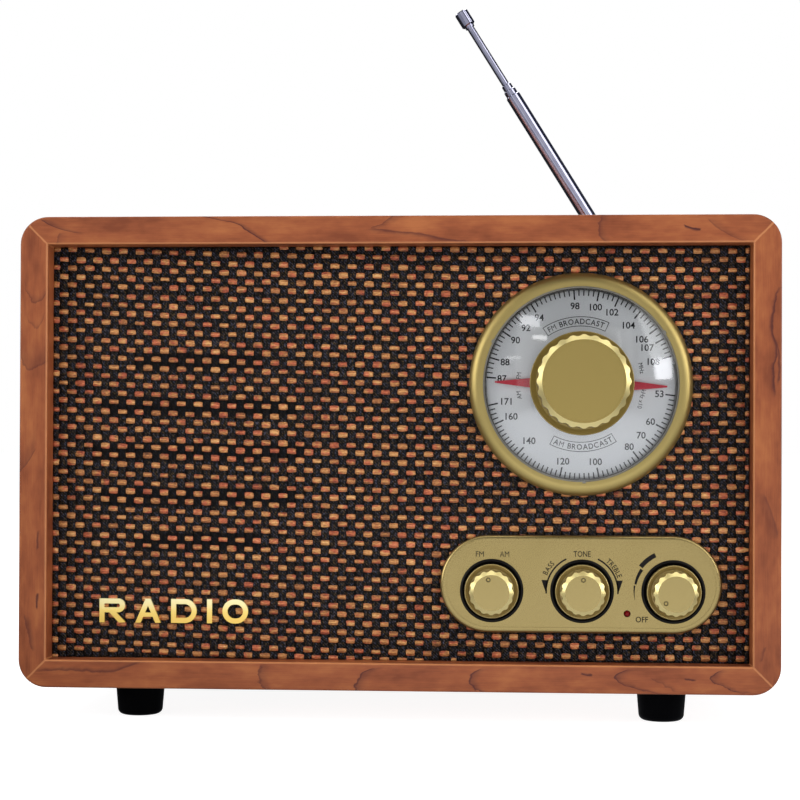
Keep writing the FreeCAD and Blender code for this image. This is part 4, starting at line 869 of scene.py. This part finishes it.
def yarn_piece(name, strips, material):
    """Yarns as one mesh that carries each point's tone and its place across the yarn; on the warp the tone
    is the painted shade over the sound slots.
    """
    verts, faces, tones, places = [], [], [], []
    first = 0
    for rings, tone in strips:
        count, points, _ = rings.shape
        verts.append(rings.reshape(-1, 3))
        faces += tube_faces(count, points, first)
        tones.append(np.repeat(tone, points))
        places.append(np.tile(RING_WIDE, count))
        first += count * points
    obj = add_piece(name, np.concatenate(verts), faces, material, smooth=True)
    for label, values in (("tone", tones), ("across", places)):
        layer = obj.data.attributes.new(label, "FLOAT", "POINT")
        layer.data.foreach_set("value", np.concatenate(values).astype(np.float32))
    return obj


def scrim(material):
    """Thin gauze sheet behind the yarns, cut out for the dial and the controls."""
    low, high = CLOTH_LOW, CLOTH_HIGH
    xs = np.linspace(low[0], high[0], int((high[0] - low[0]) / SCRIM_STEP) + 1)
    zs = np.linspace(low[2], high[2], int((high[2] - low[2]) / SCRIM_STEP) + 1)
    keep = {}
    verts, faces = [], []

    def vertex(i, j):
        if (i, j) not in keep:
            keep[i, j] = len(verts)
            verts.append((xs[i], low[1] + SCRIM_DEPTH, zs[j]))
        return keep[i, j]

    for i in range(len(xs) - 1):
        for j in range(len(zs) - 1):
            middle = (xs[i] + xs[i + 1]) / 2, (zs[j] + zs[j + 1]) / 2
            if uncovered(*middle):
                faces.append((vertex(i, j), vertex(i + 1, j), vertex(i + 1, j + 1), vertex(i, j + 1)))
    obj = add_piece("grille_scrim", verts, faces, material)
    area = sum(p.area for p in obj.data.polygons)
    return obj, area


def grille(materials):
    wefts = weft_rows()
    warps = warp_columns()
    for kind, strips, material in (("weft", wefts, "weft"), ("warp", warps, "warp")):
        half = len(strips) // 2
        for number, part in ((1, strips[:half]), (2, strips[half:])):
            yarn_piece(f"grille_{kind}_{number}", part, materials[material])
    sheet, area = scrim(materials["scrim"])
    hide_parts("grille_cloth")


# ---------------------------------------------------------------- printing
class Printing:
    """Flat marks on a face that looks to -Y, gathered into one piece."""

    def __init__(self, face_y):
        self.face_y = face_y / MM
        self.verts = []
        self.faces = []

    def outline(self, points):
        """A filled flat shape given by its corners as (x, z)."""
        first = len(self.verts)
        count = len(points)
        for y in (self.face_y - PRINT_T, self.face_y + PRINT_SUNK):
            self.verts += [(x, y, z) for x, z in points]
        self.faces.append(tuple(first + i for i in range(count)))
        self.faces.append(tuple(first + count + i for i in reversed(range(count))))
        for i in range(count):
            j = (i + 1) % count
            self.faces.append((first + j, first + i, first + count + i, first + count + j))

    def ring_part(self, centre, inner, outer, start, end, step=4.0):
        """Part of a ring; inner and outer may be numbers or (start, end) pairs."""
        inner = inner if isinstance(inner, tuple) else (inner, inner)
        outer = outer if isinstance(outer, tuple) else (outer, outer)
        pieces = max(1, int(abs(end - start) / step))
        for i in range(pieces):
            corners = []
            for share, radii in ((i / pieces, (0, 1)), ((i + 1) / pieces, (1, 0))):
                degrees = start + (end - start) * share
                r = (inner[0] + (inner[1] - inner[0]) * share, outer[0] + (outer[1] - outer[0]) * share)
                corners += [polar(centre, r[k], degrees) for k in radii]
            self.outline(corners)

    def text(self, words, size, x, z, turn=0.0, stretch=1.0, weight=0.0):
        """Words centred on (x, z); size is the height of a capital, turn is counter-clockwise."""
        mesh, box = glyphs(words, weight)
        scale = size / CAP_HEIGHT
        middle = ((box[0][0] + box[1][0]) / 2, CAP_HEIGHT / 2)
        cos, sin = math.cos(math.radians(turn)), math.sin(math.radians(turn))
        first = len(self.verts)
        for v in mesh.vertices:
            u = (v.co.x - middle[0]) * scale * stretch
            w = (v.co.y - middle[1]) * scale
            y = self.face_y - PRINT_T if v.co.z > 0 else self.face_y + PRINT_SUNK
            self.verts.append((x + u * cos - w * sin, y, z + u * sin + w * cos))
        self.faces += [tuple(first + i for i in p.vertices) for p in mesh.polygons]
        bpy.data.meshes.remove(mesh)

    def arc_text(self, words, size, centre, radius, middle, outward=True, gap=0.18, stretch=1.0,
                 weight=0.0):
        """Letters one by one round an arc; outward puts their tops away from the centre."""
        widths = [glyph_width(c, size) * stretch for c in words]
        total = sum(widths) + gap * size * (len(words) - 1)
        at = -total / 2
        for letter, width in zip(words, widths):
            if letter != " ":
                shift = math.degrees((at + width / 2) / radius)
                a = middle - shift if outward else middle + shift
                turn = a - 90 if outward else a + 90
                # The built-in M closes up when it is fattened.
                fatten = 0.0 if letter == "M" else weight
                self.text(letter, size, *polar(centre, radius, a), turn, stretch, fatten)
            at += width + gap * size

    def piece(self, name, material):
        add_piece(name, self.verts, self.faces, material)


def glyphs(words, weight=0.0):
    """Mesh of a line of text in the plain built-in font, a thin slab from z -1 to 1."""
    curve = bpy.data.curves.new("words", "FONT")
    curve.body = words
    curve.size = 1.0
    curve.extrude = 0.5
    curve.offset = weight
    curve.resolution_u = 3
    holder = bpy.data.objects.new("words", curve)
    mesh = bpy.data.meshes.new_from_object(holder)
    bpy.data.objects.remove(holder)
    bpy.data.curves.remove(curve)
    xs = [v.co.x for v in mesh.vertices] or [0.0, 0.3]
    ys = [v.co.y for v in mesh.vertices] or [0.0, 0.0]
    return mesh, ((min(xs), min(ys)), (max(xs), max(ys)))


def cap_height():
    mesh, box = glyphs("H")
    bpy.data.meshes.remove(mesh)
    return box[1][1]


def glyph_width(letter, size):
    mesh, box = glyphs(letter)
    bpy.data.meshes.remove(mesh)
    return (box[1][0] - box[0][0]) * size / CAP_HEIGHT


CAP_HEIGHT = cap_height()


def ticks(marks, first, last, minor_step):
    """(angle, is_major) of every tick between two angles, with minor ones filled in evenly."""
    majors = sorted(marks)
    found = [(a, True) for a in majors]
    for a, b in zip(majors, majors[1:]):
        count = max(1, round((b - a) / minor_step))
        found += [(a + (b - a) * i / count, False) for i in range(1, count)]
    found += [(a, False) for a in np.arange(majors[-1] + minor_step, last, minor_step)]
    found += [(a, False) for a in np.arange(majors[0] - minor_step, first, -minor_step)]
    return found


def dial_printing(material):
    p = Printing(PLATE_FRONT)
    middle = (DIAL[0] / MM, DIAL[2] / MM)
    for marks, first, last in ((FM_MARKS, 17.5, 176.0), (AM_MARKS, 192.5, 353.5)):
        for degrees, major in ticks(marks.values(), first, last, TICK_STEP):
            a = math.radians(degrees)
            inner = TICK_MAJOR_R if major else TICK_MINOR_R
            half = TICK_MAJOR_HALF_W if major else TICK_MINOR_HALF_W
            across = (-math.sin(a) * half, math.cos(a) * half)
            ends = (polar(middle, inner, degrees), polar(middle, TICK_OUTER_R, degrees))
            corners = [(x - across[0], z - across[1]) for x, z in ends]
            corners += [(x + across[0], z + across[1]) for x, z in reversed(ends)]
            p.outline(corners)
        for label, degrees in marks.items():
            at_side = abs(math.cos(math.radians(degrees))) > 0.5
            r = NUMBER_R - (LONG_NUMBER_IN if len(label) == 3 and at_side else 0.0)
            p.text(label, NUMBER_H, *polar(middle, r, degrees), weight=0.016)
    for words, inner, outer, start, end, outward in BANNERS:
        p.ring_part(middle, inner, inner + BANNER_LINE, start, end)
        p.ring_part(middle, outer - BANNER_LINE, outer, start, end)
        for edge in (start, end):
            half = math.degrees(BANNER_LINE / 2 / outer)
            p.ring_part(middle, inner, outer, edge - half, edge + half)
        p.arc_text(words, BANNER_H, middle, (inner + outer) / 2, (start + end) / 2, outward, gap=0.2,
                   stretch=0.9, weight=FULL_WEIGHT)
    for words, degrees, turn in SIDE_WORDS:
        p.text(words, SIDE_WORD_H, *polar(middle, SIDE_WORD_R, degrees), turn, 0.9)
    p.piece("dial_printing", material)


def panel_printing(material):
    p = Printing(PANEL_FACE)
    band, tone, volume = ((k[0] / MM, k[2] / MM) for k in KNOBS)
    p.text("FM", LABEL_H, band[0] - 3.9, band[1] + 12.0, stretch=0.92)
    p.text("AM", LABEL_H, band[0] + 4.2, band[1] + 12.0, stretch=0.85)
    p.text("TONE", LABEL_H, tone[0], tone[1] + 12.25, stretch=0.80, weight=THIN_WEIGHT)
    p.text("OFF", LABEL_H, volume[0] - 10.25, volume[1] - 9.1, stretch=0.90, weight=THIN_WEIGHT)
    p.arc_text("BASS", TONE_WORD_H, tone, 13.4, 145.5, stretch=0.82, weight=FULL_WEIGHT)
    p.arc_text("TREBLE", TONE_WORD_H, tone, 13.2, 36.0, stretch=0.82, weight=FULL_WEIGHT)
    for start, end, side in TONE_ARCS:
        p.ring_part(tone, *TONE_LINE_R, start, end)
        x = tone[0] + side * 12.2
        z = tone[1] + 3.6
        p.outline([(x - 1.1, z), (x + 1.1, z), (x - side * 0.4, z - 4.3)][::-1])
    for start, end, middle_r, thick in WEDGE:
        inner = tuple(middle_r - t / 2 for t in thick)
        outer = tuple(middle_r + t / 2 for t in thick)
        p.ring_part(volume, inner, outer, start, end)
    p.piece("panel_printing", material)


# ---------------------------------------------------------------- metal contacts at the back
def turned_piece(name, profile, x, z, material):
    """Closed ring about a Y axis through (x, z); profile is (radius, y) points in mm."""
    sides = 32
    count = len(profile)
    verts = []
    for i in range(sides):
        a = 2 * math.pi * i / sides
        verts += [(x + r * math.cos(a), y, z + r * math.sin(a)) for r, y in profile]
    faces = []
    for i in range(sides):
        here = i * count
        after = (i + 1) % sides * count
        for j in range(count):
            k = (j + 1) % count
            faces.append((here + j, here + k, after + k, after + j))
    add_piece(name, verts, faces, material)


def back_contacts(material):
    """Plated sleeves on the two inlet pins and a plated ring in the mouth of the input socket."""
    inlet_low, inlet_high = (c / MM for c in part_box("mains_inlet"))
    middle = (inlet_low + inlet_high) / 2
    tip = inlet_high[1] - PIN_SUNK
    root = tip - PIN_L
    for number, side in ((1, -1), (2, 1)):
        end = tip + PLATING_T
        profile = [(0.02, root), (PIN_R, root), (PIN_R, tip - 0.3), (PIN_R - 0.4, end), (0.02, end)]
        turned_piece(f"mains_inlet_pin_{number}", profile, middle[0] + side * PIN_X, middle[2], material)
    _, jack_high = (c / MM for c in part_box("aux_jack"))
    jack = centre_of("aux_jack") / MM
    face = jack_high[1]
    rim = face + PLATING_T
    deep = face - JACK_RING_DEPTH
    wall = JACK_BORE_R + 0.02
    profile = [(JACK_BORE_R, deep), (JACK_BORE_R, rim), (JACK_RIM_R, rim), (JACK_RIM_R, face - 0.05),
               (wall, face - 0.05), (wall, deep)]
    turned_piece("aux_jack_ring", profile, jack[0], jack[2], material)


# ---------------------------------------------------------------- light, floor and camera
def area_light(name, place, target, width, height, radiance, colour):
    """Soft lamp that faces a target; radiance is how bright its face is."""
    data = bpy.data.lights.new(name, "AREA")
    data.shape = "RECTANGLE"
    data.size = width
    data.size_y = height
    data.energy = radiance * math.pi * width * height
    data.color = colour
    lamp = bpy.data.objects.new(name, data)
    bpy.context.collection.objects.link(lamp)
    lamp.location = place
    direction = lamp.location - target
    lamp.rotation_euler = direction.to_track_quat("Z", "Y").to_euler()


# Lamps, in metres: name, place, width, height, brightness and colour. They face the object's middle.
WHITE = (1.0, 1.0, 1.0)
LAMP_AIM_Z = 0.09
LAMPS = (
    ("window_right", (0.85, -0.94, 0.30), 0.18, 0.20, 7.5, (0.95, 0.95, 1.0)),
    ("window_left", (-0.32, -0.884, 0.665), 0.18, 0.10, 4.6, (0.95, 0.96, 1.0)),
    ("tube_left", (-0.252, -1.01, 0.546), 0.12, 0.03, 7.0, WHITE),
    ("tube_low", (-0.456, -0.928, 0.362), 0.14, 0.02, 3.0, WHITE),
    ("tube_right", (0.43, -1.0, 0.525), 0.02, 0.18, 1.5, WHITE),
    ("upper_right", (0.88, -0.70, 0.72), 0.7, 0.7, 2.3, WHITE),
    ("front", (0.0, -2.2, 0.55), 2.2, 1.4, 0.58, WHITE),
    ("front_left", (-1.2, -0.85, 0.5), 0.8, 0.8, 3.6, WHITE),
    ("wall_right", (1.35, -0.58, 0.25), 0.7, 0.7, 3.0, WHITE),
    ("rear", (-0.4, 1.2, 1.4), 1.6, 1.0, 5.0, WHITE),
)
# A hoop of lamps over the object, by their angles above the right-hand side.
HOOP_DEGREES = (12, 60, 92, 130, 168)
HOOP_R = 1.35
HOOP_Y = -0.40
HOOP_Z = 0.12
HOOP_LAMP = (0.80, 0.48, 2.3)

# Floor as the camera sees it, and the bright pool and wash that only reflections see; places in mm.
FLOOR_FADE = (300.0, 900.0)
FLOOR_STRENGTH = (0.92, 1.0)
POOL_X = 60.0
POOL_Y = -550.0
POOL_SQUASH = 0.6
POOL_FADE = (130.0, 400.0)
POOL_STRENGTH = 1.95
WASH_FADE = (-350.0, 60.0)
WASH_STRENGTH = (0.42, 0.03)
ROOM_STRENGTH = 0.06


def lights():
    middle = (cad_low + cad_high) / 2
    middle[2] = LAMP_AIM_Z
    for name, place, width, height, radiance, colour in LAMPS:
        area_light(name, place, middle, width, height, radiance, colour)
    for number, degrees in enumerate(HOOP_DEGREES):
        x, z = polar((0.0, HOOP_Z), HOOP_R, degrees)
        area_light(f"hoop_{number}", (x, HOOP_Y, z), middle, *HOOP_LAMP, WHITE)


def split_by_camera_ray(tree, seen, unseen, output):
    """Shows one shader to the camera itself and the other to light and reflections."""
    path = tree.nodes.new("ShaderNodeLightPath")
    both = mix_shader(tree, path.outputs["Is Camera Ray"], unseen, seen)
    tree.links.new(both, output)


def surroundings():
    """Pale floor in a white studio. Reflections see a dimmer room, brightest just in front."""
    size = 30.0
    mesh = bpy.data.meshes.new("floor")
    corners = [(-size, -size, 0), (size, -size, 0), (size, size, 0), (-size, size, 0)]
    mesh.from_pydata(corners, [], [(0, 1, 2, 3)])
    floor = bpy.data.objects.new("floor", mesh)
    bpy.context.collection.objects.link(floor)
    s = Shader("floor_white", Roughness=0.9, Base_Color=(0.35, 0.35, 0.35, 1.0),
               Emission_Color=(1.0, 1.0, 1.0, 1.0))
    x, y, _ = s.position()
    glow_strength = s.span(s.length(x, y), *FLOOR_FADE, *FLOOR_STRENGTH)
    s.feed(s.surface.inputs["Emission Strength"], glow_strength)
    off_x = s.math("ADD", x, -POOL_X)
    off_y = s.scale_add(y, POOL_SQUASH, -POOL_Y * POOL_SQUASH)
    pool = s.span(s.length(off_x, off_y), *POOL_FADE, POOL_STRENGTH, 0.0)
    wash = s.span(y, *WASH_FADE, *WASH_STRENGTH)
    glow = s.node("ShaderNodeEmission")
    s.feed(glow.inputs["Strength"], s.math("MAXIMUM", pool, wash))
    put(glow, Color=(0.92, 0.94, 1.0, 1.0))
    split_by_camera_ray(s.tree, s.surface.outputs[0], glow.outputs[0],
                        s.tree.nodes["Material Output"].inputs["Surface"])
    mesh.materials.append(s.material)

    world = bpy.data.worlds.new("studio")
    world.use_nodes = True
    bpy.context.scene.world = world
    tree = world.node_tree
    dim = tree.nodes["Background"]
    put(dim, Color=(0.62, 0.70, 1.0, 1.0), Strength=ROOM_STRENGTH)
    white = tree.nodes.new("ShaderNodeBackground")
    put(white, Color=(1.0, 1.0, 1.0, 1.0), Strength=1.0)
    output = tree.nodes["World Output"].inputs["Surface"]
    split_by_camera_ray(tree, white.outputs[0], dim.outputs[0], output)


# Camera: lens in mm, picture shift, place in metres, and turn, tilt and roll in degrees.
LENS = 81.26
SHIFT = (-0.00275, 0.0434)
EYE = (0.0370, -0.6453, 0.0903)
TURN, TILT, ROLL = 3.39, 90.45, 0.21


def camera():
    data = bpy.data.cameras.new("camera")
    data.lens = LENS
    data.sensor_width = 36.0
    data.shift_x, data.shift_y = SHIFT
    data.clip_start = 0.01
    data.clip_end = 100.0
    eye = bpy.data.objects.new("camera", data)
    bpy.context.collection.objects.link(eye)
    turn = Matrix.Rotation(math.radians(TURN), 4, "Z") @ Matrix.Rotation(math.radians(TILT), 4, "X")
    turn = turn @ Matrix.Rotation(math.radians(ROLL), 4, "Z")
    eye.matrix_world = Matrix.Translation(EYE) @ turn
    bpy.context.scene.camera = eye
    bpy.context.scene.view_settings.view_transform = "Standard"


def main():
    camera()
    materials = shared_materials()
    finish_cad_nodes(materials)
    grille(materials)
    dial_printing(materials["print"])
    panel_printing(materials["print"])
    back_contacts(materials["chrome"])
    lights()
    surroundings()


main()
